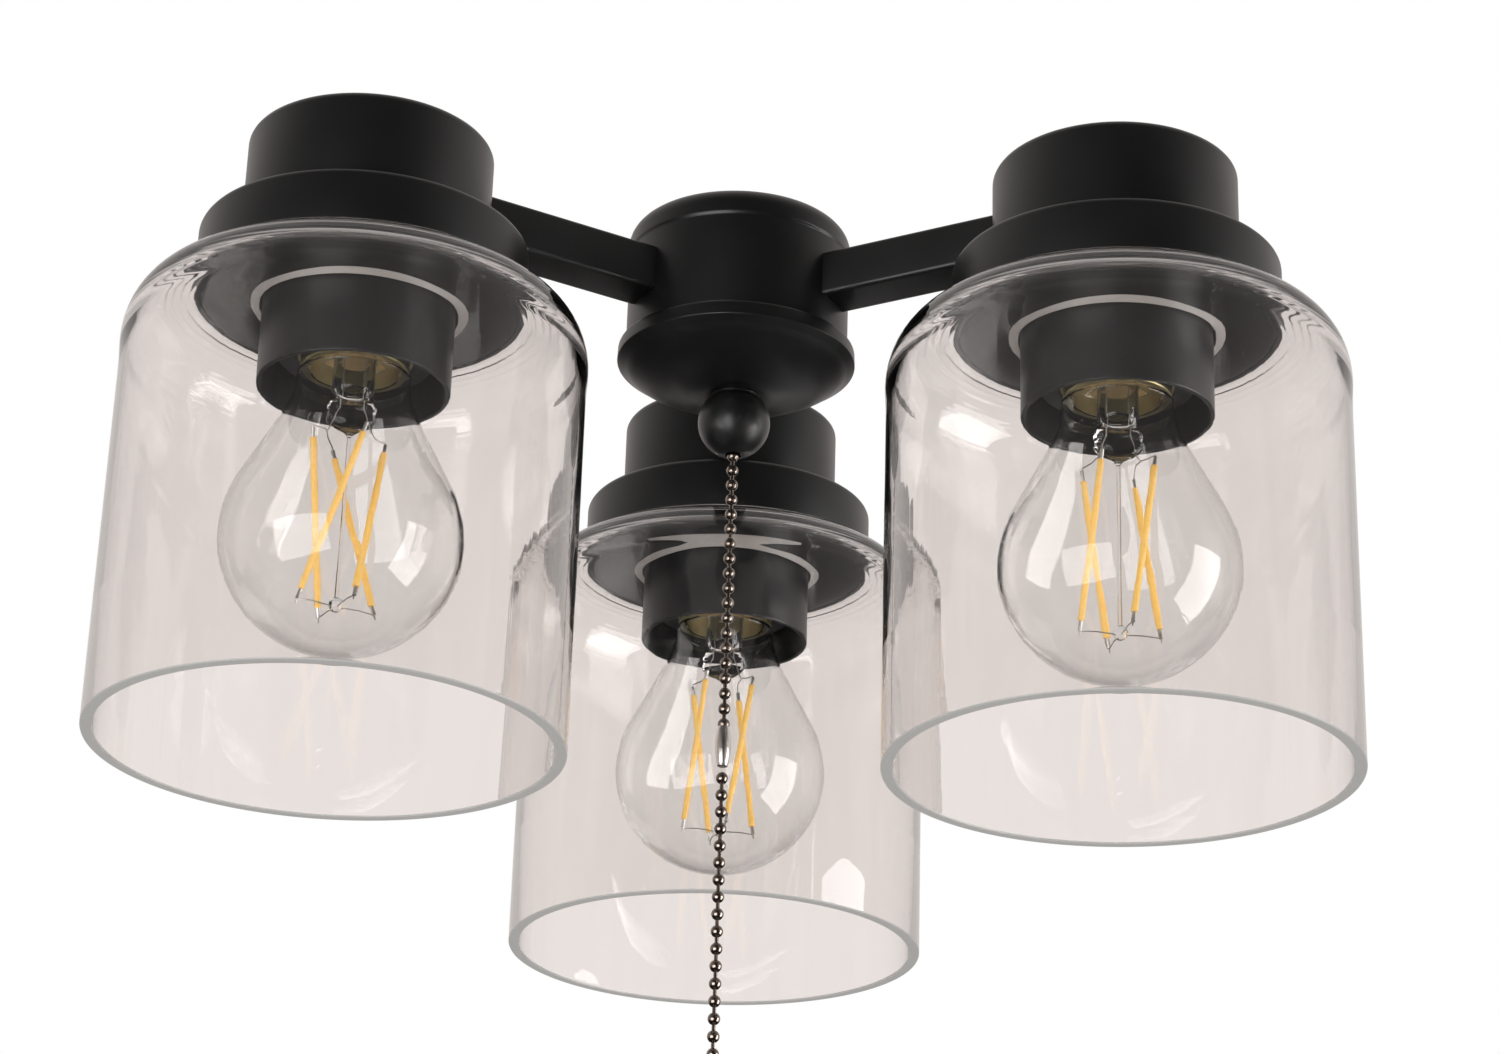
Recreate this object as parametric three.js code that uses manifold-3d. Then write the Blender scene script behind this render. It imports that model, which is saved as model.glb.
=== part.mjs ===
// Light kit for a ceiling fan. A hub hangs under the fan by a threaded nipple. Three square arms leave the hub
// and each carries a lamp: a cap, a wider flange, a clear glass shade that a black sleeve clamps from below, and
// a filament bulb. A pull chain leaves through a ball under the hub and works the switch inside.
// Millimetres, +Z up. The origin is on the hub's axis, on its top face, where the kit meets the fan.

import * as THREE from 'three';
import { mergeVertices } from 'three/addons/utils/BufferGeometryUtils.js';
import Module from 'manifold-3d';

const wasm = await Module();
wasm.setup();

// Fits and cuts
const seatGap = 0.3; // left between pieces that meet face to face
const slideGap = 0.4; // left round the pull chain, which slides
const cutOver = 1; // how far a cut runs past the wall that it opens

// Sides round the turned pieces, and steps along an arc or a curve
const shadeSides = 28;
const shellSides = 20;
const bulbSides = 16;
const socketSides = 14;
const tubeSides = 10;
const wireSides = 8;
const rodSides = 5;
const supportSides = 3;
const arcSteps = 2;
const shoulderSteps = 3;
const globeSteps = 5;
const neckSteps = 3;
const leadSteps = 11;

// Threaded tube: the fan nipple, the lamp nipples and the switch bushing
const threadRadius = 5.1;
const threadBore = 3.5;

// Hub
const hubRadius = 30;
const hubHeight = 34.4;
const hubWall = 1.6;
const hubTopRound = 5.2;
const nippleRise = 9.5; // above the hub's top face, into the fan
const nippleReach = 9; // below it, inside the hub
const nippleWasherRadius = 9;
const nippleWasherHeight = 1;
const nippleNutFlats = 16;
const nippleNutHeight = 3.2;

// Bowl under the hub
const bowlFlare = 1.8; // how far the rim stands out past the hub
const bowlHeight = 13.5;
const bowlWall = 1.5;
const bowlSeatRadius = 8.6; // flat ring that the ball closes on
const bowlRimShares = [[0.04, 0.05], [0.80, 0.19], [1, 0.31]]; // of the flare, of the height
const bowlUnderShares = [[0.99, 0.45], [0.92, 0.60], [0.72, 0.75], [0.44, 0.90]];

// Pull switch in the hub, and what clamps it
const switchDepth = 15.2; // from the hub's top face to the switch
const switchRadius = 12.5;
const switchHeight = 15;
const switchWall = 1.5;
const ratchetRadius = 4;
const ratchetToothDepth = 0.8;
const ratchetWidth = 4.4;
const ratchetTeeth = 8;
const ratchetDepth = 7.5; // from the switch's top to the ratchet's axle
const axleRadius = 1;
const barWidth = 15;
const barThickness = 1.5;
const bushingNutFlats = 14;
const bushingNutHeight = 3;
const bushingInBall = 9.8; // how far the bushing screws into the ball

// Ball under the bowl
const ballRadius = 9.6;
const ballDrop = 7.7; // from the bowl's underside to the ball's centre
const ballCollarRadius = 6.8;
const ballSteps = 5;

// Pull chain: two lengths joined by a coupling, with an end bell
const chainRadius = 1.6;
const chainUpperDrop = 75.7; // from the ball's mouth to the coupling
const chainLowerLength = 155.4;
const chainStep = 8;
const couplingRadius = 2.05;
const couplingMouth = 1.3;
const couplingLength = 11.2;
const couplingTaper = 2;
const bellRadius = 3.6;
const bellNeckRadius = 1.7;
const bellLength = 12;
const bellNeckLength = 3;

// Arms
const armSide = 12.7;
const armWall = 1.5;
const armCorner = 1.2;
const armDrop = 14; // from the hub's top face to the arm's top
const armInHub = 3; // past the inside of the hub's wall
const armInCap = 2.5; // past the inside of the cap's wall

// Lamp cap and flange
const lampRadius = 110; // from the hub's axis to a lamp's axis
const capDrop = 8; // from the hub's top face to the cap's top
const capRadius = 31.3;
const capHeight = 27.3;
const capWall = 1.4;
const capRound = 2.4;
const flangeRadius = 41.6;
const flangeHeight = 16.2;
const flangeWall = 1.5;
const flangeRound = 1.8;
const plateThickness = 1.5; // flat plate in the flange's mouth, which the glass closes on
const plateHole = 20.4;
const plateStep = 0.9; // ledge in the flange's wall above the plate

// Lamp socket
const collarRadius = 8;
const collarHeight = 3.5;
const socketRadius = 19.5;
const socketHeight = 27.3;
const socketBoreDepth = 2.8;
const socketRoof = 1.7;
const shellWall = 0.7;
const shellHeight = 21;
const shellMouth = 9;
const contactRadius = 5.5;
const contactThickness = 0.7;

// Glass shade and its sleeve
const shadeRadius = 57.85;
const shadeHeight = 117.4;
const shadeShoulder = 15;
const shadeWall = 3;
const shadeTopThickness = 4.2;
const shadeHole = 20.5;
const sleeveRadius = 24.06;
const sleeveHeight = 20.2;
const sleeveWall = 1.2;
const sleeveThreadHeight = 5;

// Bulb
const bulbRadius = 30;
const bulbLength = 100.3;
const bulbGlass = 0.8;
const bulbShoulderAngle = 27; // degrees above the globe's middle, where the neck begins
const bulbNeckRadius = 14.2;
const bulbNeckFlare = 1.2;
const bulbTopHandle = 16;
const bulbNeckHandle = 9;
const baseLength = 24.8;
const baseRadius = 13.1;
const baseRim = 13.5;
const baseRimHeight = 2.6;
const baseRecess = 5;
const baseRecessRadius = 11.6;
const threadPitch = 3.63;
const threadDepth = 0.7;
const threadTurns = 3;
const tipRadius = 4.8;
const tipHeight = 1.3;
const insulatorTopRadius = 6;
const insulatorHeight = 4;

// Glass stem and filaments in the bulb
const stemRadius = 5.2;
const stemTubeLength = 13;
const pinchRadius = 5.6;
const pinchLength = 8;
const stemRodRadius = 0.5;
const beadRadius = 1.4;
const filamentRadius = 0.9;
const filamentTopRadius = 9;
const filamentFootRadius = 9.6;
const filamentTopDrop = 17.6; // from the bulb's rim to the filaments' tops
const filamentHeight = 46;
const filamentCount = 4;
const supportRadius = 0.28;
const supportRise = 1.6;

// Lead to each lamp
const leadRadius = 1.3;
const leadBend = 9;
const leadOffset = 13; // from the lamp's axis, where it goes down to the socket

// Where each lamp stands and how its filaments are turned, in degrees
const lamps = [
  { side: 'left', azimuth: 210, filamentTurn: 48, filamentTwist: 95 },
  { side: 'right', azimuth: 330, filamentTurn: 38, filamentTwist: 58 },
  { side: 'rear', azimuth: 90, filamentTurn: 62, filamentTwist: 70 },
];

// Heights worked out from the sizes above
const switchTop = -switchDepth;
const switchBottom = switchTop - switchHeight;
const barTop = switchBottom - seatGap;
const bushingNutTop = barTop - barThickness - seatGap;
const bowlTop = -hubHeight - seatGap;
const bowlBottom = bowlTop - bowlHeight;
const ballTop = bowlBottom - seatGap;
const ballCentre = bowlBottom - ballDrop;
const bushingBottom = ballTop - bushingInBall;
const chainBore = chainRadius + slideGap;
const ballMouth = ballCentre - Math.sqrt(ballRadius ** 2 - chainBore ** 2);
const ratchetHeight = switchTop - ratchetDepth;
const ratchetOffset = chainRadius + seatGap + ratchetRadius;
const couplingTop = ballMouth - chainUpperDrop;
const couplingBottom = couplingTop - couplingLength;
const chainLowerTop = couplingBottom - seatGap;
const chainLowerBottom = chainLowerTop - chainLowerLength;
const armCentre = -armDrop - armSide / 2;
const armWindow = armSide + 2 * seatGap;
const capInner = capRadius - capWall;
const armEnd = capInner - armInCap;
const armStart = hubRadius - hubWall - armInHub;
const flangeTop = -capDrop - capHeight;
const flangeBottom = flangeTop - flangeHeight;
const flangeUnder = flangeTop - flangeWall;
const collarTop = flangeUnder - seatGap;
const socketTop = collarTop - collarHeight - seatGap;
const socketBottom = socketTop - socketHeight;
const nippleBore = threadRadius + seatGap;
const cavityTop = socketTop - socketBoreDepth - socketRoof;
const contactTop = cavityTop - seatGap;
const tipTop = contactTop - contactThickness - seatGap;
const rimHeight = tipTop - baseLength;
const recessTop = rimHeight + baseRecess;
const globeCentre = tipTop - bulbLength + bulbRadius;
const shadeTop = flangeBottom - seatGap;
const shadeUnder = shadeTop - shadeTopThickness;
const sleeveTop = shadeUnder - seatGap;
const threadSeat = socketRadius + seatGap;
const shellInner = baseRadius + slideGap;
const socketCavity = shellInner + shellWall + seatGap;
const neckTop = recessTop - seatGap;
const neckInner = baseRecessRadius - seatGap;
const filamentTop = rimHeight - filamentTopDrop;
const filamentFoot = filamentTop - filamentHeight;

const finishes = {
  blackMetal: { color: 0x1b1a1b, roughness: 0.5, metalness: 0.35 },
  steel: { color: 0x9c9a94, roughness: 0.4, metalness: 1 },
  brass: { color: 0xb59a5a, roughness: 0.35, metalness: 1 },
  nickel: { color: 0xb8b4ae, roughness: 0.25, metalness: 1 },
  chain: { color: 0x4a413c, roughness: 0.3, metalness: 1 },
  phenolic: { color: 0x201d1b, roughness: 0.6, metalness: 0 },
  nylon: { color: 0xd8d2c4, roughness: 0.5, metalness: 0 },
  glass: { color: 0xe6e3e1, roughness: 0.05, metalness: 0, transparent: true, opacity: 0.3 },
  filament: { color: 0xf2b84c, roughness: 0.6, metalness: 0 },
  insulation: { color: 0x25262a, roughness: 0.7, metalness: 0 },
};

// Merges shared corners and drops triangles that have no area
function welded(geometry) {
  geometry.deleteAttribute('normal');
  geometry.deleteAttribute('uv');
  const merged = mergeVertices(geometry);
  const corners = merged.index.array;
  const kept = [];
  for (let i = 0; i < corners.length; i += 3) {
    const [a, b, c] = corners.slice(i, i + 3);
    if (a !== b && b !== c && c !== a) kept.push(a, b, c);
  }
  merged.setIndex(kept);
  return merged;
}

// Turns [radius, height] points about the Z axis. A profile off the axis is closed on itself.
function turned(profile, sides) {
  const points = profile.map(([radius, height]) => new THREE.Vector2(radius, height));
  if (THREE.ShapeUtils.area(points) < 0) points.reverse();
  if (points[0].x > 0) points.push(points[0].clone());
  return welded(new THREE.LatheGeometry(points, sides).rotateX(Math.PI / 2));
}

// Gives an outline a wall on its right-hand side, and returns the closed profile of the sheet
function sheet(outline, wall) {
  const points = outline.map(([radius, height]) => new THREE.Vector2(radius, height));
  const last = points.length - 1;
  const inward = (from, to) => new THREE.Vector2(to.y - from.y, from.x - to.x).normalize();
  const inner = points.map((point, i) => {
    const before = inward(points[Math.max(i - 1, 0)], points[Math.max(i, 1)]);
    const after = inward(points[Math.min(i, last - 1)], points[Math.min(i + 1, last)]);
    const mean = before.clone().add(after).normalize();
    const moved = point.clone().addScaledVector(mean, wall / mean.dot(after));
    return [point.x === 0 ? 0 : moved.x, moved.y];
  });
  return [...outline, ...inner.reverse()];
}

// Points of an arc in a profile, between two angles in degrees
function arc(radius, height, size, from, to, steps, sizeUp = size) {
  const points = [];
  for (let i = 0; i <= steps; i += 1) {
    const angle = THREE.MathUtils.degToRad(from + (to - from) * i / steps);
    points.push([radius + size * Math.cos(angle), height + sizeUp * Math.sin(angle)]);
  }
  return points;
}

// Points of a smooth curve in a profile
function curve(corners, steps) {
  const [a, b, c, d] = corners.map(([radius, height]) => new THREE.Vector2(radius, height));
  return new THREE.CubicBezierCurve(a, b, c, d).getPoints(steps).map((point) => [point.x, point.y]);
}

function tube(outer, inner, top, bottom, sides) {
  return turned([[inner, top], [outer, top], [outer, bottom], [inner, bottom]], sides);
}

function hexNut(flats, hole, height) {
  const outline = new THREE.Shape();
  const corner = flats / Math.sqrt(3);
  for (let i = 0; i < 6; i += 1) {
    const angle = i * Math.PI / 3;
    outline.lineTo(corner * Math.cos(angle), corner * Math.sin(angle));
  }
  outline.curves.shift();
  outline.closePath();
  outline.holes.push(new THREE.Path().absarc(0, 0, hole, 0, 2 * Math.PI, true));
  return welded(new THREE.ExtrudeGeometry(outline, { depth: height, bevelEnabled: false, curveSegments: 6 }));
}

// A thin straight rod between two points
function rod(from, to, radius, sides) {
  const along = to.clone().sub(from);
  const geometry = new THREE.CylinderGeometry(radius, radius, along.length(), sides);
  const turn = new THREE.Quaternion().setFromUnitVectors(new THREE.Vector3(0, 1, 0), along.normalize());
  geometry.applyQuaternion(turn);
  const middle = from.clone().add(to).multiplyScalar(1 / 2);
  return welded(geometry.translate(middle.x, middle.y, middle.z));
}

// A round cord of the given radius along a path
function cord(path, radius, steps) {
  const section = new THREE.Shape();
  for (let i = 0; i < wireSides; i += 1) {
    const angle = 2 * Math.PI * i / wireSides;
    section.lineTo(radius * Math.cos(angle), radius * Math.sin(angle));
  }
  section.curves.shift();
  section.closePath();
  return welded(new THREE.ExtrudeGeometry(section, { extrudePath: path, steps, bevelEnabled: false }));
}

function solid(geometry) {
  return new wasm.Manifold(new wasm.Mesh({
    numProp: 3,
    vertProperties: new Float32Array(geometry.attributes.position.array),
    triVerts: new Uint32Array(geometry.index.array),
  }));
}

function surface(body) {
  const mesh = body.getMesh();
  const geometry = new THREE.BufferGeometry();
  geometry.setAttribute('position', new THREE.BufferAttribute(mesh.vertProperties, 3));
  geometry.setIndex(new THREE.BufferAttribute(mesh.triVerts, 1));
  return geometry;
}

function box(width, depth, height, x, z) {
  return solid(welded(new THREE.BoxGeometry(width, depth, height).translate(x, 0, z)));
}

function piece(parent, name, geometry, finish) {
  geometry.computeVertexNormals();
  const mesh = new THREE.Mesh(geometry, new THREE.MeshStandardMaterial(finishes[finish]));
  mesh.name = name;
  parent.add(mesh);
  return mesh;
}

// Housing of the hub: a drawn cup, open below, with a window in its wall for each arm
function hubHousing() {
  const flat = hubRadius - hubTopRound;
  const outline = [
    [threadRadius + seatGap, 0],
    ...arc(flat, -hubTopRound, hubTopRound, 90, 0, arcSteps),
    [hubRadius, -hubHeight],
  ];
  let cup = solid(turned(sheet(outline, hubWall), shellSides));
  const length = hubRadius + cutOver - armStart;
  for (const { azimuth } of lamps) {
    const window = box(length, armWindow, armWindow, armStart + length / 2, armCentre);
    cup = cup.subtract(window.rotate([0, 0, azimuth]));
  }
  return surface(cup);
}

function bowl() {
  const rim = hubRadius + bowlFlare;
  const flared = bowlRimShares.map(([out, down]) => [hubRadius + bowlFlare * out, bowlTop - bowlHeight * down]);
  const under = bowlUnderShares.map(([out, down]) => [rim * out, bowlTop - bowlHeight * down]);
  const outline = [
    [hubRadius, bowlTop],
    ...flared,
    ...under,
    [bowlSeatRadius, bowlBottom],
    [threadRadius + seatGap, bowlBottom],
  ];
  return turned(sheet(outline, bowlWall), shellSides);
}

function ball() {
  const collarAngle = THREE.MathUtils.radToDeg(Math.acos(ballCollarRadius / ballRadius));
  const mouthAngle = -THREE.MathUtils.radToDeg(Math.acos(chainBore / ballRadius));
  return turned([
    [threadRadius + seatGap, ballTop],
    [ballCollarRadius, ballTop],
    ...arc(0, ballCentre, ballRadius, collarAngle, mouthAngle, ballSteps),
    [chainBore, bushingBottom - seatGap],
    [threadRadius + seatGap, bushingBottom - seatGap],
  ], bulbSides);
}

// Strap across the hub, with round ends that follow its wall
function crossBar() {
  const reach = hubRadius * Math.cos(Math.PI / shellSides) - hubWall - seatGap;
  const half = Math.asin(barWidth / 2 / reach);
  const outline = new THREE.Shape();
  outline.absarc(0, 0, reach, -half, half, false);
  outline.absarc(0, 0, reach, Math.PI - half, Math.PI + half, false);
  outline.closePath();
  outline.holes.push(new THREE.Path().absarc(0, 0, threadRadius + seatGap, 0, 2 * Math.PI, true));
  const options = { depth: barThickness, bevelEnabled: false, curveSegments: 6 };
  return welded(new THREE.ExtrudeGeometry(outline, options));
}

function switchBody() {
  const inner = switchRadius - switchWall;
  return turned([
    [0, switchTop],
    [switchRadius, switchTop],
    [switchRadius, switchBottom],
    [chainBore, switchBottom],
    [chainBore, switchBottom + switchWall],
    [inner, switchBottom + switchWall],
    [inner, switchTop - switchWall],
    [0, switchTop - switchWall],
  ], socketSides);
}

// Toothed wheel that the chain turns, on its axle
function ratchet() {
  const outline = new THREE.Shape();
  for (let i = 0; i < ratchetTeeth; i += 1) {
    const step = 2 * Math.PI / ratchetTeeth;
    const root = ratchetRadius - ratchetToothDepth;
    outline.lineTo(root * Math.cos(i * step), root * Math.sin(i * step));
    outline.lineTo(ratchetRadius * Math.cos((i + 1) * step), ratchetRadius * Math.sin((i + 1) * step));
  }
  outline.curves.shift();
  outline.closePath();
  const wheel = new THREE.ExtrudeGeometry(outline, { depth: ratchetWidth, bevelEnabled: false });
  wheel.translate(0, 0, -ratchetWidth / 2);
  const wall = (switchRadius - switchWall) * Math.cos(Math.PI / socketSides);
  const reach = Math.sqrt(wall ** 2 - (ratchetOffset + axleRadius) ** 2) - seatGap;
  const axle = rod(new THREE.Vector3(0, 0, -reach), new THREE.Vector3(0, 0, reach), axleRadius, wireSides);
  return surface(solid(welded(wheel)).add(solid(axle)));
}

function straightCord(top, bottom) {
  const path = new THREE.LineCurve3(new THREE.Vector3(0, 0, top), new THREE.Vector3(0, 0, bottom));
  return cord(path, chainRadius, Math.round((top - bottom) / chainStep));
}

function coupling() {
  return turned([
    [0, couplingTop],
    [couplingMouth, couplingTop],
    [couplingRadius, couplingTop - couplingTaper],
    [couplingRadius, couplingBottom + couplingTaper],
    [couplingMouth, couplingBottom],
    [0, couplingBottom],
  ], tubeSides);
}

function endBell() {
  const top = chainLowerBottom - seatGap;
  const bottom = top - bellLength;
  const middle = top - bellNeckLength;
  return turned([
    [0, top],
    [bellNeckRadius, top],
    ...curve([
      [bellNeckRadius, middle],
      [bellNeckRadius, middle - bellNeckLength],
      [bellRadius, middle - bellNeckLength],
      [bellRadius, bottom + bellNeckLength / 2],
    ], neckSteps),
    [bellRadius, bottom],
    [0, bottom],
  ], tubeSides);
}

function arm() {
  const half = armSide / 2;
  const square = (path, size, corner) => {
    path.absarc(size - corner, size - corner, corner, 0, Math.PI / 2, false);
    path.absarc(corner - size, size - corner, corner, Math.PI / 2, Math.PI, false);
    path.absarc(corner - size, corner - size, corner, Math.PI, 3 * Math.PI / 2, false);
    path.absarc(size - corner, corner - size, corner, 3 * Math.PI / 2, 2 * Math.PI, false);
    path.closePath();
    return path;
  };
  const section = square(new THREE.Shape(), half, armCorner);
  section.holes.push(square(new THREE.Path(), half - armWall, armCorner / 2));
  const length = lampRadius - armEnd - armStart;
  const options = { depth: length, bevelEnabled: false, curveSegments: 2 };
  const bar = new THREE.ExtrudeGeometry(section, options);
  return welded(bar.rotateY(Math.PI / 2).translate(armStart - lampRadius, 0, armCentre));
}

function lampCap() {
  const flat = capRadius - capRound;
  const outline = [
    [0, -capDrop],
    ...arc(flat, -capDrop - capRound, capRound, 90, 0, arcSteps),
    [capRadius, flangeTop + seatGap],
  ];
  const cup = solid(turned(sheet(outline, capWall), shellSides));
  const length = capRadius + cutOver - armEnd;
  return surface(cup.subtract(box(length, armWindow, armWindow, -armEnd - length / 2, armCentre)));
}

function lampFlange() {
  const plateTop = flangeBottom + plateThickness + seatGap;
  const inner = flangeRadius - flangeWall;
  const pan = solid(turned([
    [nippleBore, flangeTop],
    ...arc(flangeRadius - flangeRound, flangeTop - flangeRound, flangeRound, 90, 0, arcSteps),
    [flangeRadius, flangeBottom],
    [inner, flangeBottom],
    [inner, plateTop],
    [inner - plateStep, plateTop],
    [inner - plateStep, flangeUnder],
    [nippleBore, flangeUnder],
  ], shellSides));
  const above = new THREE.Vector3(-leadOffset, 0, flangeTop + cutOver);
  const below = new THREE.Vector3(-leadOffset, 0, flangeUnder - cutOver);
  return surface(pan.subtract(solid(rod(above, below, leadRadius + slideGap, wireSides))));
}

function lampNipple() {
  const top = -capDrop - capWall - seatGap;
  const bottom = socketTop - socketBoreDepth + seatGap;
  return turned([
    [threadBore, top],
    [threadRadius, top],
    [threadRadius, collarTop],
    [collarRadius, collarTop],
    [collarRadius, collarTop - collarHeight],
    [threadRadius, collarTop - collarHeight],
    [threadRadius, bottom],
    [threadBore, bottom],
  ], tubeSides);
}

function socketBody() {
  return turned([
    [0, socketTop - socketBoreDepth],
    [nippleBore, socketTop - socketBoreDepth],
    [nippleBore, socketTop],
    [socketRadius, socketTop],
    [socketRadius, socketBottom],
    [socketCavity, socketBottom],
    [socketCavity, cavityTop],
    [0, cavityTop],
  ], shellSides);
}

function socketShell() {
  const outer = shellInner + shellWall;
  const top = socketBottom + shellHeight;
  return turned([
    [shellMouth, top],
    [outer, top],
    [outer, socketBottom],
    [shellInner, socketBottom],
    [shellInner, top - shellWall],
    [shellMouth, top - shellWall],
  ], socketSides);
}

function socketContact() {
  const bottom = contactTop - contactThickness;
  return turned([[0, contactTop], [contactRadius, contactTop], [contactRadius, bottom], [0, bottom]], tubeSides);
}

function shadePlate() {
  const outer = (flangeRadius - flangeWall) - seatGap;
  return tube(outer, plateHole, flangeBottom + plateThickness, flangeBottom, shellSides);
}

function glassShade() {
  const flat = shadeRadius - shadeShoulder;
  const bottom = shadeTop - shadeHeight;
  const middle = shadeTop - shadeShoulder;
  const across = shadeShoulder - shadeWall;
  const up = shadeShoulder - shadeTopThickness;
  return turned([
    [shadeHole, shadeTop],
    ...arc(flat, middle, shadeShoulder, 90, 0, shoulderSteps),
    [shadeRadius, bottom],
    [shadeRadius - shadeWall, bottom],
    ...arc(flat, middle, across, 0, 90, shoulderSteps, up),
    [shadeHole, shadeUnder],
  ], shadeSides);
}

function shadeSleeve() {
  const bottom = sleeveTop - sleeveHeight;
  const inner = sleeveRadius - sleeveWall;
  const threadOuter = threadSeat + sleeveWall;
  return turned([
    [threadSeat, sleeveTop],
    [sleeveRadius, sleeveTop],
    [sleeveRadius, bottom],
    [inner, bottom],
    [inner, sleeveTop - sleeveWall],
    [threadOuter, sleeveTop - sleeveWall],
    [threadOuter, sleeveTop - sleeveThreadHeight],
    [threadSeat, sleeveTop - sleeveThreadHeight],
  ], shellSides);
}

function bulbBase() {
  const root = baseRadius - threadDepth;
  const threadTop = tipTop - tipHeight - insulatorHeight;
  const threads = [];
  for (let i = 0; i < threadTurns; i += 1) {
    const top = threadTop - i * threadPitch;
    threads.push([root, top], [baseRadius, top - threadPitch / 2]);
  }
  return turned([
    [0, tipTop],
    [tipRadius, tipTop],
    [tipRadius, tipTop - tipHeight],
    [insulatorTopRadius, tipTop - tipHeight],
    ...threads,
    [root, rimHeight + baseRimHeight],
    [baseRim, rimHeight + baseRimHeight / 2],
    [baseRim, rimHeight],
    [baseRecessRadius, rimHeight],
    [baseRecessRadius, recessTop],
    [0, recessTop],
  ], socketSides);
}

function bulbGlobe() {
  const angle = THREE.MathUtils.degToRad(bulbShoulderAngle);
  const [shoulder, height] = [bulbRadius * Math.cos(angle), globeCentre + bulbRadius * Math.sin(angle)];
  const neck = rimHeight - seatGap - bulbNeckFlare;
  const outline = [
    [neckInner, neckTop],
    [neckInner, rimHeight - seatGap],
    ...curve([
      [bulbNeckRadius, neck],
      [bulbNeckRadius, neck - bulbNeckHandle],
      [shoulder - bulbTopHandle * Math.sin(angle), height + bulbTopHandle * Math.cos(angle)],
      [shoulder, height],
    ], neckSteps),
    ...arc(0, globeCentre, bulbRadius, bulbShoulderAngle, -90, globeSteps).slice(1, -1),
    [0, globeCentre - bulbRadius],
  ];
  return turned(sheet(outline, bulbGlass), bulbSides);
}

function bulbStem() {
  const pinchTop = neckTop - stemTubeLength;
  const rodTop = pinchTop - pinchLength;
  const rodEnd = filamentFoot + beadRadius + seatGap;
  return turned([
    [0, neckTop],
    [stemRadius, neckTop],
    [stemRadius, pinchTop],
    [pinchRadius, pinchTop - pinchLength / 4],
    [pinchRadius, rodTop + pinchLength / 4],
    [stemRodRadius, rodTop],
    [stemRodRadius, rodEnd],
    [0, rodEnd],
  ], wireSides);
}

// Four glowing sticks that lean round the stem, joined by fine wires to a glass bead below
function bulbFilaments(turn, twist) {
  const bead = new THREE.SphereGeometry(beadRadius, rodSides, supportSides).rotateX(Math.PI / 2);
  let joined = solid(welded(bead.translate(0, 0, filamentFoot)));
  const at = (radius, angle, height) => {
    const radians = THREE.MathUtils.degToRad(angle);
    return new THREE.Vector3(radius * Math.cos(radians), radius * Math.sin(radians), height);
  };
  for (let i = 0; i < filamentCount; i += 1) {
    const angle = turn + 360 * i / filamentCount;
    const top = at(filamentTopRadius, angle, filamentTop);
    const foot = at(filamentFootRadius, angle + twist, filamentFoot);
    const clear = pinchRadius + seatGap + supportRadius;
    const clip = at(clear, angle, filamentTop + supportRise);
    const middle = new THREE.Vector3(0, 0, filamentFoot);
    joined = joined.add(solid(rod(top, foot, filamentRadius, rodSides)));
    joined = joined.add(solid(rod(foot, middle, supportRadius, supportSides)));
    joined = joined.add(solid(rod(clip, top, supportRadius, supportSides)));
  }
  return surface(joined);
}

function lampLead() {
  const start = switchRadius + seatGap - lampRadius;
  const end = socketTop + seatGap;
  const points = [
    [start, armCentre],
    [(start - armEnd) / 2, armCentre],
    [-leadOffset - 2 * leadBend, armCentre],
    [-leadOffset - leadBend / 2, armCentre - leadBend / 8],
    [-leadOffset - leadBend / 8, armCentre - leadBend / 2],
    [-leadOffset, armCentre - leadBend],
    [-leadOffset, end],
  ];
  const path = new THREE.CatmullRomCurve3(points.map(([x, z]) => new THREE.Vector3(x, 0, z)));
  return cord(path, leadRadius, leadSteps);
}

const kit = new THREE.Group();

const hub = new THREE.Group();
kit.add(hub);
piece(hub, 'hub_housing', hubHousing(), 'blackMetal');
piece(hub, 'bottom_bowl', bowl(), 'blackMetal');
piece(hub, 'ball_finial', ball(), 'blackMetal');
piece(hub, 'fan_nipple', tube(threadRadius, threadBore, nippleRise, -nippleReach, tubeSides), 'steel');

const washerTop = -hubWall - seatGap;
const washerBottom = washerTop - nippleWasherHeight;
piece(hub, 'nipple_washer', tube(nippleWasherRadius, nippleBore, washerTop, washerBottom, tubeSides), 'steel');
const nippleNut = piece(hub, 'nipple_nut', hexNut(nippleNutFlats, nippleBore, nippleNutHeight), 'steel');
nippleNut.position.z = washerBottom - seatGap - nippleNutHeight;

const bar = piece(hub, 'cross_bar', crossBar(), 'steel');
bar.position.z = barTop - barThickness;
piece(hub, 'switch_body', switchBody(), 'phenolic');
const wheel = piece(hub, 'switch_ratchet', ratchet(), 'nylon');
wheel.rotation.x = Math.PI / 2;
wheel.position.set(-ratchetOffset, 0, ratchetHeight);
piece(hub, 'switch_bushing', tube(threadRadius, chainBore, barTop, bushingBottom, tubeSides), 'brass');
const bushingNut = piece(hub, 'bushing_nut', hexNut(bushingNutFlats, nippleBore, bushingNutHeight), 'steel');
bushingNut.position.z = bushingNutTop - bushingNutHeight;

const chain = new THREE.Group();
hub.add(chain);
piece(chain, 'pull_chain_upper', straightCord(ratchetHeight, couplingTop + seatGap), 'chain');
piece(chain, 'chain_coupling', coupling(), 'nickel');
piece(chain, 'pull_chain_lower', straightCord(chainLowerTop, chainLowerBottom), 'chain');
piece(chain, 'chain_end_bell', endBell(), 'chain');

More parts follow.
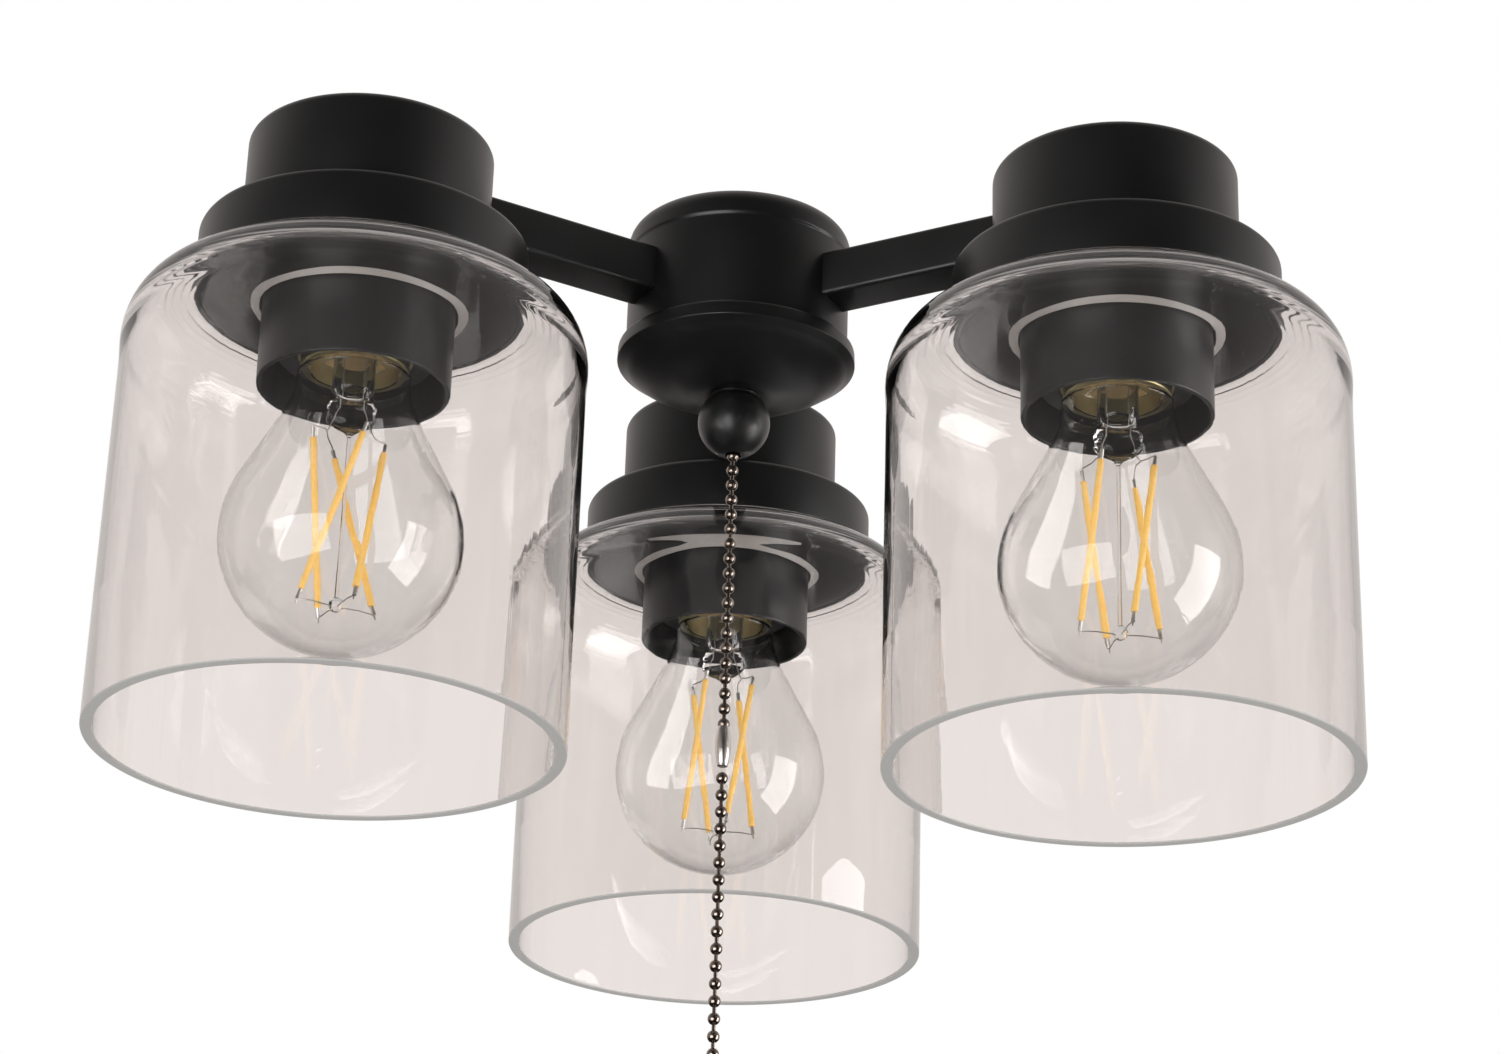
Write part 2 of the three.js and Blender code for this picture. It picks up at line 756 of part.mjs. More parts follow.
for (const { side, azimuth, filamentTurn, filamentTwist } of lamps) {
  const lamp = new THREE.Group();
  const angle = THREE.MathUtils.degToRad(azimuth);
  lamp.position.set(lampRadius * Math.cos(angle), lampRadius * Math.sin(angle), 0);
  lamp.rotation.z = angle;
  kit.add(lamp);
  piece(lamp, `arm_${side}`, arm(), 'blackMetal');
  piece(lamp, `lamp_cap_${side}`, lampCap(), 'blackMetal');
  piece(lamp, `lamp_flange_${side}`, lampFlange(), 'blackMetal');
  piece(lamp, `lamp_nipple_${side}`, lampNipple(), 'steel');
  piece(lamp, `lamp_lead_${side}`, lampLead(), 'insulation');
  piece(lamp, `socket_body_${side}`, socketBody(), 'phenolic');
  piece(lamp, `socket_shell_${side}`, socketShell(), 'brass');
  piece(lamp, `socket_contact_${side}`, socketContact(), 'brass');
  piece(lamp, `shade_plate_${side}`, shadePlate(), 'blackMetal');
  piece(lamp, `glass_shade_${side}`, glassShade(), 'glass');
  piece(lamp, `shade_sleeve_${side}`, shadeSleeve(), 'blackMetal');
  piece(lamp, `bulb_base_${side}`, bulbBase(), 'brass');
  piece(lamp, `bulb_globe_${side}`, bulbGlobe(), 'glass');
  piece(lamp, `bulb_stem_${side}`, bulbStem(), 'glass');
  piece(lamp, `bulb_filaments_${side}`, bulbFilaments(filamentTurn - azimuth, filamentTwist), 'filament');
}

export default kit;
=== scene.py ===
# Looks of a ceiling fan's light kit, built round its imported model.
# Black hub and square arms, three clear glass shades over filament bulbs, and a ball chain.
# Sizes are in millimetres until a mesh is made, and the meshes are in metres.
import math

import bmesh
import bpy
from mathutils import Matrix, Vector


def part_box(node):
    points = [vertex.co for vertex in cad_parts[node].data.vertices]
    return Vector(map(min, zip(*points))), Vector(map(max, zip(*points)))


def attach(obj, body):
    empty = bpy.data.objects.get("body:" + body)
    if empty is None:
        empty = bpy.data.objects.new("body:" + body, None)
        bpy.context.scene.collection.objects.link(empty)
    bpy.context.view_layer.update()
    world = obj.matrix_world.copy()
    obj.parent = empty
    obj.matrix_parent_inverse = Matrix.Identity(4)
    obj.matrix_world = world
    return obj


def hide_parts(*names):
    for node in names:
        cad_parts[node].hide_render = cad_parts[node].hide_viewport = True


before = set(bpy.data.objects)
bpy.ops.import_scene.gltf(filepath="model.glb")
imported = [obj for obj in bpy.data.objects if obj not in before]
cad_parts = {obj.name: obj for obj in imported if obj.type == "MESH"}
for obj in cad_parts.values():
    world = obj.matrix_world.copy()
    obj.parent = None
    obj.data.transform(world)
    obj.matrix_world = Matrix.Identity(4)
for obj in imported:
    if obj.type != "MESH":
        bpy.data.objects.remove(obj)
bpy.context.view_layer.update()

MM = 0.001
SIDES = ("left", "right", "rear")
FIT_GAP = 0.3  # between pieces that all but touch

# Camera, fitted to the photograph: place in metres, angles in radians, focal length in pixels
IMAGE_WIDTH = 1500
CAMERA_PLACE = Vector((-0.00534, -0.8512, -0.2757))  # its height is from the shades' rims
CAMERA_YAW = 0.0123
CAMERA_PITCH = 0.3994
CAMERA_ROLL = 0.0313
CAMERA_FOCAL = 3522
SENSOR_WIDTH = 36

# Sides round the turned pieces
FINE = 144
PLAIN = 96
SMALL = 48
TINY = 24

# Hub, bowl and ball
HUB_WALL = 1.6
HUB_TOP_ROUND = 5.2
HUB_STEP_DROP = 7.9  # from the hub's top to the step pressed into its wall
HUB_STEP = 0.35
HUB_STEP_HEIGHT = 1.5
EDGE_ROUND = 0.35
NIPPLE_CLEARANCE = 0.3
BOWL_WALL = 1.5
BOWL_SEAT_RADIUS = 8.6
BOWL_RIM_HEIGHT = 4.2
BOWL_RIM_ROUNDS = (0.9, 0.4)  # of its upper and lower edge
BOWL_RIM_INSET = (0.15, 0.3)  # of its upper edge, inward and down
BOWL_LAP = 0.5  # of its top under the hub's wall
BOWL_UNDER_SHARES = ((0.94, 0.405), (0.86, 0.54), (0.70, 0.71), (0.44, 0.88))  # of the rim, of the height
BALL_COLLAR_RADIUS = 6.8
CHAIN_BORE = 2.0

# Threads
THREAD_BORE = 3.5
THREAD_PITCH = 0.94
THREAD_DEPTH = 0.42
THREAD_END = 0.4  # plain length at each end
THREAD_ROWS = 6  # rows of points to one turn
SCREW_ROWS = 8  # the same on the bulbs' bases and their shells

# Arms
ARM_WALL = 1.5
ARM_CORNER = 1.2

# Cap, flange and plate
LAMP_NIPPLE_HOLE = 5.4
CAP_WALL = 1.4
CAP_ROUND = 2.4
FLANGE_WALL = 1.5
FLANGE_ROUND = 1.8
FLANGE_LIP = 0.5
PLATE_HOLE = 20.4
PLATE_LEDGE = 0.9

# Socket
SOCKET_CAVITY = 14.5
SOCKET_ROOF = 4.5
SOCKET_RECESS = 2.8  # in its top, for the nipple's end
SOCKET_ROUNDS = (1.0, 0.6)  # of its upper and lower edge
SHELL_WALL = 0.7
SHELL_MOUTH = 9
SHELL_PITCH = 3.63
SHELL_ENDS = (2, 0.5)  # plain length above and below the thread

# Glass shade and sleeve
SHADE_WALL = 3
SHADE_WALL_LOW = (30, 2.1)  # height above the rim and wall there
SHADE_WALL_BEND = 40  # radius of the inner line's bend at that height
SHADE_WALL_HIGH = 1.5  # at the shoulder, where the wall is thinnest
SHADE_TOP_THICKNESS = 3.2
SHADE_HOLE = 20.5
SHADE_SHOULDER = 15
SHADE_INNER_SHOULDER = 12.2
SHADE_LIP = 0.45
SHADE_SEAT = (24.6, 27.2)  # radius of the ground seat in the underside, at its mouth and its floor
SHADE_SEAT_DEPTH = 2.6
SHADE_SEAT_EDGE = 0.15
SHADE_CREASE = 0.3  # of the mould's parting mark, where shoulder meets wall
SHADE_CREASE_HEIGHT = 1.3
SHADE_CREASE_EVEN = 0.65  # share of it that is the same all round
SHADE_CREASE_WAVES = (3, 5)  # of the rest, in one turn
SHADE_CREASE_PHASE = 0.7
SHADE_SWELL_DROP = 1.5  # of the swell outside, below the crease
SHADE_SWELL_SPREAD = 3  # times the crease's height
SHADE_SKIN = 1  # depth that still counts as outside
SHADE_RIPPLE_START = 42.2  # radius of the first mould ring
SHADE_RIPPLE_PITCH = 2.4
SHADE_RIPPLES = 4
SHADE_RIPPLE_DEPTH = 0.2
SHADE_STEPS = (0.35, 0.8)  # longest step of its profile, outside and inside
SHADE_CURVE_STEPS = 14
FACE_MARGIN = 0.05  # round the faces of the ground lip and seat
SLEEVE_WALL = 1.2
SLEEVE_GAP = 0.2  # between its end and the seat's floor
SLEEVE_THREAD_RADIUS = 19.8
SLEEVE_THREAD_HEIGHT = 5

# Bulb
GLOBE_WALL = 0.7
GLOBE_SHOULDER_ANGLE = 27  # degrees above the globe's middle, where the neck begins
GLOBE_TOP_HANDLE = 16
NECK_RADIUS = 14.2
NECK_INSIDE_RADIUS = 11.3
NECK_FLARE = 1.2
NECK_HANDLE = 9
BASE_RADIUS = 13.1
BASE_CROWN = ((3.6, 0), (4.8, 0.5), (4.8, 1.3), (6.0, 1.4), (8.6, 3.6), (11.6, 4.8))  # radius, down
BASE_CROWN_HEIGHT = 5.6
BASE_THREAD_START = 6.2  # below its tip
BASE_THREAD_DEPTH = 0.7
BASE_THREAD_END = 0.6  # above the rolled rim
BASE_RIM_HEIGHT = 2.6
BASE_RIM_ROUNDS = (0.9, 0.3)  # of its upper and lower edge
BASE_RECESS_RADIUS = 11.6
BASE_RECESS = 5
STEM_RADIUS = 5.2
STEM_WALL = 0.9
STEM_BORE = STEM_RADIUS - STEM_WALL
STEM_TUBE_LENGTH = 13
STEM_BEND = 4  # above the pinch, where the tube starts to change
STEM_ROD_RADIUS = 0.5
PINCH_RADIUS = 6.2
PINCH_LENGTH = 8
PINCH_FLATNESS = 0.45
PINCH_BLEND = (2.5, 3.5)  # start above the pinch and length of the flattening
PINCH_TURN = {"left": 8, "right": 0, "rear": -10}  # degrees from the X axis
PINCH_EDGE = ((0, 1.6), (0.25, 3.2), (0, 5.0))  # in from its radius, down from its top
PINCH_END = ((PINCH_RADIUS - 0.3, -2.2), (4.2, -0.7), (1.6, 0.6), (STEM_ROD_RADIUS, 1.8))  # radius, down
STEM_CAVITY = ((0, 1.0), (1.6, 0.7), (STEM_BORE - 0.6, -0.8), (STEM_BORE, -2.6))  # radius, down
STICK_COUNT = 4
STICK_RADIUS = 0.85
STICK_FOOT = 1.4  # above the glass bead's lower end
STICK_HEIGHT = 46
STICK_TOP_RADIUS = 9.9
STICK_FOOT_RADIUS = 10.2
STICK_TURN = {"left": (30, -90), "right": (60, -50), "rear": (62, -50)}  # degrees: top azimuth, twist
TAB_LENGTH = 2.6
TAB_RADIUS = 0.5
TAB_OVERLAP = 0.2
WIRE_RADIUS = 0.16
WIRE_TAIL = 1.2  # past a stick's foot
WIRE_EXIT = 16.5  # from the pinch, below the base's rim
SPOKE_SHARES = (0.1, 0.6)  # of the way from bead to stick: a spoke's start and its bend
SPOKE_LIFT = 0.3
HOLDER_RADIUS = 5.6
HOLDER_SHARES = (0.55, 0.45)  # of its start and of the stick's head, at its bend
HOLDER_SIDEWAYS = 0.7
HOLDER_LIFT = 0.5
LEAD_RADII = (2.6, 2.8, 5.2)  # in the base, above the pinch and in it
LEAD_RISES = (3, 6)  # above the base's rim and above the pinch
GLASS_BEAD_RADIUS = 1.9

# Pull chain
BEAD_DIAMETER = 3.2
UPPER_PITCH = 4.106
LOWER_PITCH = 4.4
UPPER_FIRST_BEAD = 0.2  # above the ball's mouth
LOWER_FIRST_BEAD = 2.8  # below the lower length's top
LINK_RADIUS = 0.5
CHAIN_INSIDE = 27  # of the upper length's path, from the ball's mouth up
CHAIN_PARTING = 1  # from there to the chain that stays in the hub
COUPLING_END = ((0, 0), (1.0, 0), (1.4, 0.2), (1.45, 0.7), (1.6, 1.2))  # radius, down
COUPLING_SIDE = ((0.9, 2.6), (0.985, 4.2))  # share of its radius, down
BELL_TIP = ((1.0, 0), (1.7, 0.5))  # radius, down
BELL_SIDE = ((1.75, 0.18), (2.0, 0.3), (2.9, 0.46), (3.45, 0.66))  # radius, share of its height
BELL_WIDEST_SHARE = 0.88
BELL_LIP = ((0.15, 0.3), (0.7, 0))  # in from its radius, up from its end


def reach(node):
    """Radius, top and bottom of a CAD node, in millimetres."""
    low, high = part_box(node)
    size = high - low
    return max(size.x, size.y) / 2 / MM, high.z / MM, low.z / MM


def middle(node):
    """Place in plan of a CAD node's axis, in millimetres."""
    low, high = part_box(node)
    centre = (low + high) / 2 / MM
    return centre.x, centre.y


def placed(name, data):
    """An object in the scene for a mesh, a curve, a lamp or a camera."""
    made = bpy.data.objects.new(name, data)
    bpy.context.scene.collection.objects.link(made)
    return made


# Shaders
class Value:
    """A number on its way through a shader. Arithmetic on it adds Math nodes."""

    def __init__(self, shader, socket):
        self.shader = shader
        self.socket = socket

    def math(self, operation, *others):
        inputs = dict(enumerate((self, *others)))
        node = self.shader.node("ShaderNodeMath", inputs, operation=operation)
        return self.shader.value(node, "Value")

    def __add__(self, other):
        return self.math("ADD", other)

    def __mul__(self, other):
        return self.math("MULTIPLY", other)

    def __rsub__(self, other):
        return (self * -1).math("ADD", other)

    __radd__ = __add__
    __rmul__ = __mul__


class Shader:
    """A material or world whose nodes are made one call at a time."""

    def __init__(self, owner):
        owner.use_nodes = True
        self.owner = owner
        self.tree = owner.node_tree
        self.tree.nodes.clear()

    def node(self, kind, inputs=None, **settings):
        made = self.tree.nodes.new(kind)
        for name, value in settings.items():
            setattr(made, name, value)
        for name, value in (inputs or {}).items():
            if isinstance(value, Value):
                self.tree.links.new(value.socket, made.inputs[name])
            else:
                made.inputs[name].default_value = value
        return made

    def value(self, node, output):
        return Value(self, node.outputs[output])

    def place(self, kind="Object"):
        return self.value(self.node("ShaderNodeTexCoord"), kind)

    def stretched(self, scale):
        """Object coordinates, stretched along each axis."""
        inputs = {"Vector": self.place(), "Scale": scale}
        return self.value(self.node("ShaderNodeMapping", inputs, vector_type="TEXTURE"), "Vector")

    def noise(self, size, detail=2.0, vector=None, distortion=0.0):
        """Smooth noise from 0 to 1 whose blots are about size millimetres across."""
        inputs = {
            "Vector": vector or self.place(),
            "Scale": 1 / (size * MM),
            "Detail": detail,
            "Distortion": distortion,
        }
        return self.value(self.node("ShaderNodeTexNoise", inputs), "Fac")

    def between(self, value, low, high):
        """0 where value is under low, 1 where it is over high, and a smooth step between them."""
        inputs = {"Value": value, "From Min": low, "From Max": high}
        node = self.node("ShaderNodeMapRange", inputs, interpolation_type="SMOOTHSTEP")
        return self.value(node, "Result")

    def mix(self, share, first, second):
        """A colour from first, where share is 0, to second, where it is 1."""
        inputs = {"Factor": share}
        node = self.node("ShaderNodeMix", inputs, data_type="RGBA")
        for socket, colour in zip(("A", "B"), (first, second)):
            target = next(s for s in node.inputs if s.name == socket and s.type == "RGBA")
            if isinstance(colour, Value):
                self.tree.links.new(colour.socket, target)
            else:
                target.default_value = (*colour, 1)
        return Value(self, next(s for s in node.outputs if s.type == "RGBA"))

    def bump(self, height, depth, normal=None):
        """A surface that rises by depth millimetres where height is 1."""
        inputs = {"Height": height, "Strength": 1.0, "Distance": depth * MM}
        if normal:
            inputs["Normal"] = normal
        return self.value(self.node("ShaderNodeBump", inputs), "Normal")

    def surface(self, **sockets):
        """Ends a material in one Principled node. A socket's name is written with _ for its spaces."""
        inputs = {}
        for name, value in sockets.items():
            if isinstance(value, tuple) and len(value) == 3:
                value = (*value, 1)
            inputs[name.replace("_", " ")] = value
        node = self.node("ShaderNodeBsdfPrincipled", inputs)
        self.node("ShaderNodeOutputMaterial", {"Surface": self.value(node, "BSDF")})
        return self.owner


def material(name):
    return Shader(bpy.data.materials.new(name))


def black_paint():
    """Satin black powder coat, with a fine grain and faint cloudy wear."""
    shader = material("satin_black_paint")
    cloud = shader.noise(18, detail=3)
    grain = shader.noise(0.35, detail=1)
    colour = shader.mix(cloud, (0.0034, 0.0032, 0.0034), (0.0052, 0.0049, 0.0051))
    return shader.surface(
        Base_Color=colour,
        Roughness=0.30 + cloud * 0.1,
        Normal=shader.bump(grain, 0.003),
    )


def clear_glass(name, thin, thick, wave_size, wave_depth, streak=(1, 1, 1), line_depth=0.0, bend=1.5):
    """Clear glass with the slow waves of a blown or pressed piece, and a colour that drifts with them.
    line_depth adds the fine upright lines that a pressed wall has."""
    shader = material(name)
    waves = shader.noise(wave_size, detail=1, vector=shader.stretched(streak), distortion=0.6)
    normal = shader.bump(waves, wave_depth)
    if line_depth:
        lines = shader.noise(1.3, detail=2, vector=shader.stretched((1, 1, 45)))
        normal = shader.bump(lines, line_depth, normal)
    return shader.surface(
        Base_Color=shader.mix(waves, thin, thick),
        Roughness=0.0,
        IOR=bend,
        Transmission_Weight=1.0,
        Normal=normal,
    )


def ground_glass(name, dark, light):
    """Ground glass, grey and a little rough."""
    shader = material(name)
    grind = shader.noise(0.6, detail=2)
    return shader.surface(
        Base_Color=shader.mix(grind, dark, light),
        Roughness=0.4 + grind * 0.15,
        Normal=shader.bump(grind, 0.01),
    )


def phosphor():
    """Amber coating of the filament sticks, unlit, with the grain of the chips under it."""
    shader = material("amber_phosphor")
    chips = shader.noise(1.1, detail=1)
    return shader.surface(
        Base_Color=shader.mix(chips, (0.95, 0.46, 0.075), (1.0, 0.60, 0.17)),
        Roughness=0.45 + chips * 0.15,
        Subsurface_Weight=0.15,
        Normal=shader.bump(chips, 0.05),
    )


def plated(name, dark, light, roughness, grain_size=3.0, grain_depth=0.004):
    """Metal with a thin plate: cloudy colour and a little unevenness."""
    shader = material(name)
    cloud = shader.noise(grain_size, detail=3)
    return shader.surface(
        Base_Color=shader.mix(cloud, dark, light),
        Metallic=1.0,
        Roughness=roughness + cloud * 0.12,
        Normal=shader.bump(cloud, grain_depth),
    )


def moulded(name, dark, light, roughness):
    """Moulded plastic with a fine matt texture."""
    shader = material(name)
    cloud = shader.noise(6, detail=3)
    grain = shader.noise(0.25, detail=1)
    return shader.surface(
        Base_Color=shader.mix(cloud, dark, light),
        Roughness=roughness + cloud * 0.1,
        Normal=shader.bump(grain, 0.015),
    )


def cement():
    """Golden-brown cement that holds the bulb's neck in its base."""
    shader = material("base_cement")
    crumbs = shader.noise(1.6, detail=4)
    return shader.surface(
        Base_Color=shader.mix(crumbs, (0.16, 0.095, 0.03), (0.42, 0.28, 0.11)),
        Roughness=0.7 + crumbs * 0.2,
        Normal=shader.bump(crumbs, 0.2),
    )


BLACK = black_paint()
SHADE_GLASS = clear_glass(
    "shade_glass", (0.955, 0.942, 0.935), (0.905, 0.887, 0.878), 7, 0.02, streak=(1, 1, 7),
    line_depth=0.004)
BULB_GLASS = clear_glass("bulb_glass", (1.0, 1.0, 1.0), (0.99, 0.992, 0.985), 14, 0.002, bend=1.43)
STEM_GLASS = clear_glass("stem_glass", (1.0, 1.0, 1.0), (0.985, 0.99, 0.99), 3, 0.02, bend=1.42)
GROUND = ground_glass("ground_glass_edge", (0.455, 0.44, 0.42), (0.535, 0.52, 0.50))
GROUND_SEAT = ground_glass("ground_glass_seat", (0.40, 0.365, 0.34), (0.54, 0.50, 0.47))
AMBER = phosphor()
STEEL = plated("zinc_plated_steel", (0.42, 0.41, 0.39), (0.60, 0.59, 0.56), 0.3)
BRASS = plated("plain_brass", (0.42, 0.35, 0.17), (0.60, 0.52, 0.28), 0.28)
NICKEL = plated("bright_nickel", (0.60, 0.565, 0.535), (0.74, 0.70, 0.66), 0.18, 3.0, 0.001)
BRONZE = plated("dark_bronze_plate", (0.20, 0.163, 0.14), (0.32, 0.27, 0.235), 0.12, 1.5)
WIRE = plated("support_wire", (0.34, 0.31, 0.28), (0.58, 0.54, 0.50), 0.3, 1.0)
TAB = plated("stick_end_tab", (0.55, 0.53, 0.50), (0.80, 0.78, 0.74), 0.25, 1.0)
PHENOLIC = moulded("socket_phenolic", (0.009, 0.008, 0.0075), (0.016, 0.014, 0.013), 0.5)
NYLON = moulded("wheel_nylon", (0.62, 0.58, 0.50), (0.72, 0.68, 0.60), 0.4)
INSULATION = moulded("wire_insulation", (0.018, 0.018, 0.020), (0.030, 0.030, 0.034), 0.5)
CEMENT = cement()


# Mesh helpers
CLEAR_SLOTS = ("shade_glass", "bulb_glass")  # their pieces throw no shadow


def rounded(points, steps=6):
    """Profile points with their corners rounded. A third number on a point is its corner's radius."""
    made = []
    count = len(points)
    for i, point in enumerate(points):
        here = Vector(point[:2])
        radius = point[2] if len(point) > 2 else 0
        if not radius:
            made.append(tuple(here))
            continue
        before = (Vector(points[i - 1][:2]) - here).normalized()
        after = (Vector(points[(i + 1) % count][:2]) - here).normalized()
        half = before.angle(after) / 2
        run = radius / math.tan(half)
        centre = here + (before + after).normalized() * (radius / math.sin(half))
        start = here + before * run - centre
        end = here + after * run - centre
        turn = start.angle_signed(end)
        for step in range(steps + 1):
            spoke = start.copy()
            spoke.rotate(Matrix.Rotation(-turn * step / steps, 2))
            made.append(tuple(centre + spoke))
    return made


def dense(points, longest):
    """Profile points with more between them, so that no step is longer than longest."""
    made = [points[0]]
    for start, end in zip(points, points[1:]):
        parts = max(1, math.ceil(math.dist(start, end) / longest))
        for part in range(1, parts + 1):
            share = part / parts
            made.append(tuple(a + (b - a) * share for a, b in zip(start, end)))
    return made


def smooth_line(points, steps=5):
    """A smooth line through all the points, in two or three dimensions."""
    made = [tuple(points[0])]
    ends = [points[0], *points, points[-1]]
    for a, b, c, d in zip(ends, ends[1:], ends[2:], ends[3:]):
        for step in range(1, steps + 1):
            t = step / steps
            made.append(tuple(
                0.5 * (
                    2 * q + (r - p) * t + (2 * p - 5 * q + 4 * r - s) * t * t
                    + (3 * q - p - 3 * r + s) * t ** 3
                )
                for p, q, r, s in zip(a, b, c, d)
            ))
    return made


def arc(centre, radius, start, end, steps):
    """Points of an arc in a profile, between two angles in degrees."""
    angles = (math.radians(start + (end - start) * i / steps) for i in range(steps + 1))
    return [(centre[0] + radius * math.cos(a), centre[1] + radius * math.sin(a)) for a in angles]


def bezier(a, b, c, d, steps):
    """Points of a curve from a to d that leaves towards b and arrives from c."""
    made = []
    for step in range(steps + 1):
        t = step / steps
        weights = ((1 - t) ** 3, 3 * t * (1 - t) ** 2, 3 * t * t * (1 - t), t ** 3)
        made.append(tuple(sum(w * p[k] for w, p in zip(weights, (a, b, c, d))) for k in (0, 1)))
    return made


def walled(outline, wall):
    """Closes an outline with a second line a wall inside it, on its right-hand side."""
    points = [Vector(point) for point in outline]
    inner = []
    for i, point in enumerate(points):
        ahead = points[min(i + 1, len(points) - 1)] - points[max(i - 1, 0)]
        inward = Vector((ahead.y, -ahead.x)).normalized()
        moved = point + inward * wall
        inner.append((max(moved.x, 0.0) if point.x else 0.0, moved.y))
    return [*outline, *reversed(inner)]


def finished(name, mesh, materials, body, slot, replaced=(), sharp=32):
    """Makes a piece of a mesh: smooth where it's round, riding on its body, standing for its CAD nodes."""
    mesh.set_sharp_from_angle(angle=math.radians(sharp))
    piece = placed(name, mesh)
    for each in materials:
        mesh.materials.append(each)
    piece.visible_shadow = slot not in CLEAR_SLOTS
    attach(piece, body)
    if replaced:
        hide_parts(*replaced)
    return piece


def turned_mesh(name, profile, sides, centre=(0, 0), shape=None):
    """Mesh of a profile of (radius, height) points turned about the upright axis at centre.
    shape may move a point: it takes radius, height and angle and returns x, y and z."""
    mesh = bpy.data.meshes.new(name)
    work = bmesh.new()
    rings = []
    for radius, height in profile:
        count = sides if radius > 0 else 1
        ring = []
        for i in range(count):
            angle = 2 * math.pi * i / sides
            x, y, z = radius * math.cos(angle), radius * math.sin(angle), height
            if shape:
                x, y, z = shape(radius, height, angle)
            ring.append(work.verts.new(((centre[0] + x) * MM, (centre[1] + y) * MM, z * MM)))
        rings.append(ring)
    pairs = list(zip(rings, rings[1:]))
    if profile[0][0] > 0:
        pairs.append((rings[-1], rings[0]))
    for upper, lower in pairs:
        for i in range(sides):
            j = (i + 1) % sides
            corners = [(upper, i), (lower, i), (lower, j), (upper, j)]
            corners = list(dict.fromkeys(ring[k % len(ring)] for ring, k in corners))
            if len(corners) > 2:
                face = work.faces.new(corners)
                face.smooth = True
    bmesh.ops.recalc_face_normals(work, faces=work.faces)
    work.to_mesh(mesh)
    work.free()
    return mesh


def turned(name, profile, sides, finish, body, slot, replaced=(), centre=(0, 0), shape=None):
    mesh = turned_mesh(name, profile, sides, centre, shape)
    return finished(name, mesh, [finish], body, slot, replaced)


def black_piece(name, profile, node, centre=(0, 0), body="kit", sides=FINE):
    """Turned piece of black metal that stands for one CAD node."""
    return turned(name, profile, sides, BLACK, body, "black_metal", [node], centre)


def thread(radius, depth, pitch, threaded):
    """Shape for turned_mesh that cuts a helical thread into every point on that radius within threaded."""
    low, high = threaded

    def shape(r, z, angle):
        inside = abs(r - radius) < depth and low <= z <= high
        turn = z / pitch - angle / (2 * math.pi)
        cut = depth * (0.5 - 0.5 * math.cos(2 * math.pi * turn)) if inside else 0.0
        return (r - cut) * math.cos(angle), (r - cut) * math.sin(angle), z

    return shape


# Geometry Nodes
class Tree:
    """A Geometry Nodes tree with named inputs, made one call at a time."""

    def __init__(self, name, inputs):
        self.group = bpy.data.node_groups.new(name, "GeometryNodeTree")
        sides = self.group.interface
        sides.new_socket("Geometry", in_out="INPUT", socket_type="NodeSocketGeometry")
        for each, kind in inputs.items():
            sides.new_socket(each, in_out="INPUT", socket_type=kind)
        sides.new_socket("Geometry", in_out="OUTPUT", socket_type="NodeSocketGeometry")
        self.given = self.node("NodeGroupInput").outputs

    def node(self, kind, inputs=None, **settings):
        made = self.group.nodes.new(kind)
        for name, value in settings.items():
            setattr(made, name, value)
        for name, value in (inputs or {}).items():
            if isinstance(value, (list, tuple)) and value and isinstance(value[0], bpy.types.NodeSocket):
                for each in value:
                    self.group.links.new(each, made.inputs[name])
            elif isinstance(value, bpy.types.NodeSocket):
                self.group.links.new(value, made.inputs[name])
            else:
                made.inputs[name].default_value = value
        return made

    def tube(self, sides, radius):
        """Mesh of a round body with closed ends along every line of the curve."""
        section = self.node("GeometryNodeCurvePrimitiveCircle", {"Resolution": sides, "Radius": radius})
        body = self.node("GeometryNodeCurveToMesh", {
            "Curve": self.given["Geometry"], "Profile Curve": section.outputs["Curve"], "Fill Caps": True,
        })
        return body.outputs["Mesh"]

    def finish(self, geometry):
        """Ends the tree: real meshes, smooth, in the material that the modifier names."""
        real = self.node("GeometryNodeRealizeInstances", {"Geometry": geometry})
        smooth = self.node("GeometryNodeSetShadeSmooth", {"Geometry": real.outputs[0]})
        painted = self.node("GeometryNodeSetMaterial", {
            "Geometry": smooth.outputs[0], "Material": self.given["Material"],
        })
        self.node("NodeGroupOutput", {"Geometry": painted.outputs[0]})
        return self.group


def wire_tree():
    """Gives every line of a curve a round body with closed ends."""
    tree = Tree("round_wire", {
        "Radius": "NodeSocketFloat", "Sides": "NodeSocketInt", "Material": "NodeSocketMaterial",
    })
    return tree.finish(tree.tube(tree.given["Sides"], tree.given["Radius"]))


def bead_tree():
    """Threads hollow balls on a line at an even pitch, with a short link through each gap."""
    tree = Tree("bead_chain", {
        "Bead Radius": "NodeSocketFloat", "Pitch": "NodeSocketFloat", "Link Radius": "NodeSocketFloat",
        "Material": "NodeSocketMaterial",
    })
    spots = tree.node("GeometryNodeCurveToPoints", {
        "Curve": tree.given["Geometry"], "Length": tree.given["Pitch"],
    }, mode="LENGTH")
    ball = tree.node("GeometryNodeMeshUVSphere", {
        "Segments": 20, "Rings": 12, "Radius": tree.given["Bead Radius"],
    })
    beads = tree.node("GeometryNodeInstanceOnPoints", {
        "Points": spots.outputs["Points"], "Instance": ball.outputs["Mesh"],
    })
    links = tree.tube(sides=8, radius=tree.given["Link Radius"])
    both = tree.node("GeometryNodeJoinGeometry", {"Geometry": [beads.outputs["Instances"], links]})
    return tree.finish(both.outputs["Geometry"])


def line_object(name, lines):
    """A curve object with one straight-run spline for each list of points, in millimetres."""
    curve = bpy.data.curves.new(name, "CURVE")
    curve.dimensions = "3D"
    for points in lines:
        spline = curve.splines.new("POLY")
        spline.points.add(len(points) - 1)
        for target, point in zip(spline.points, points):
            target.co = (*(Vector(point) * MM), 1)
    return placed(name, curve)


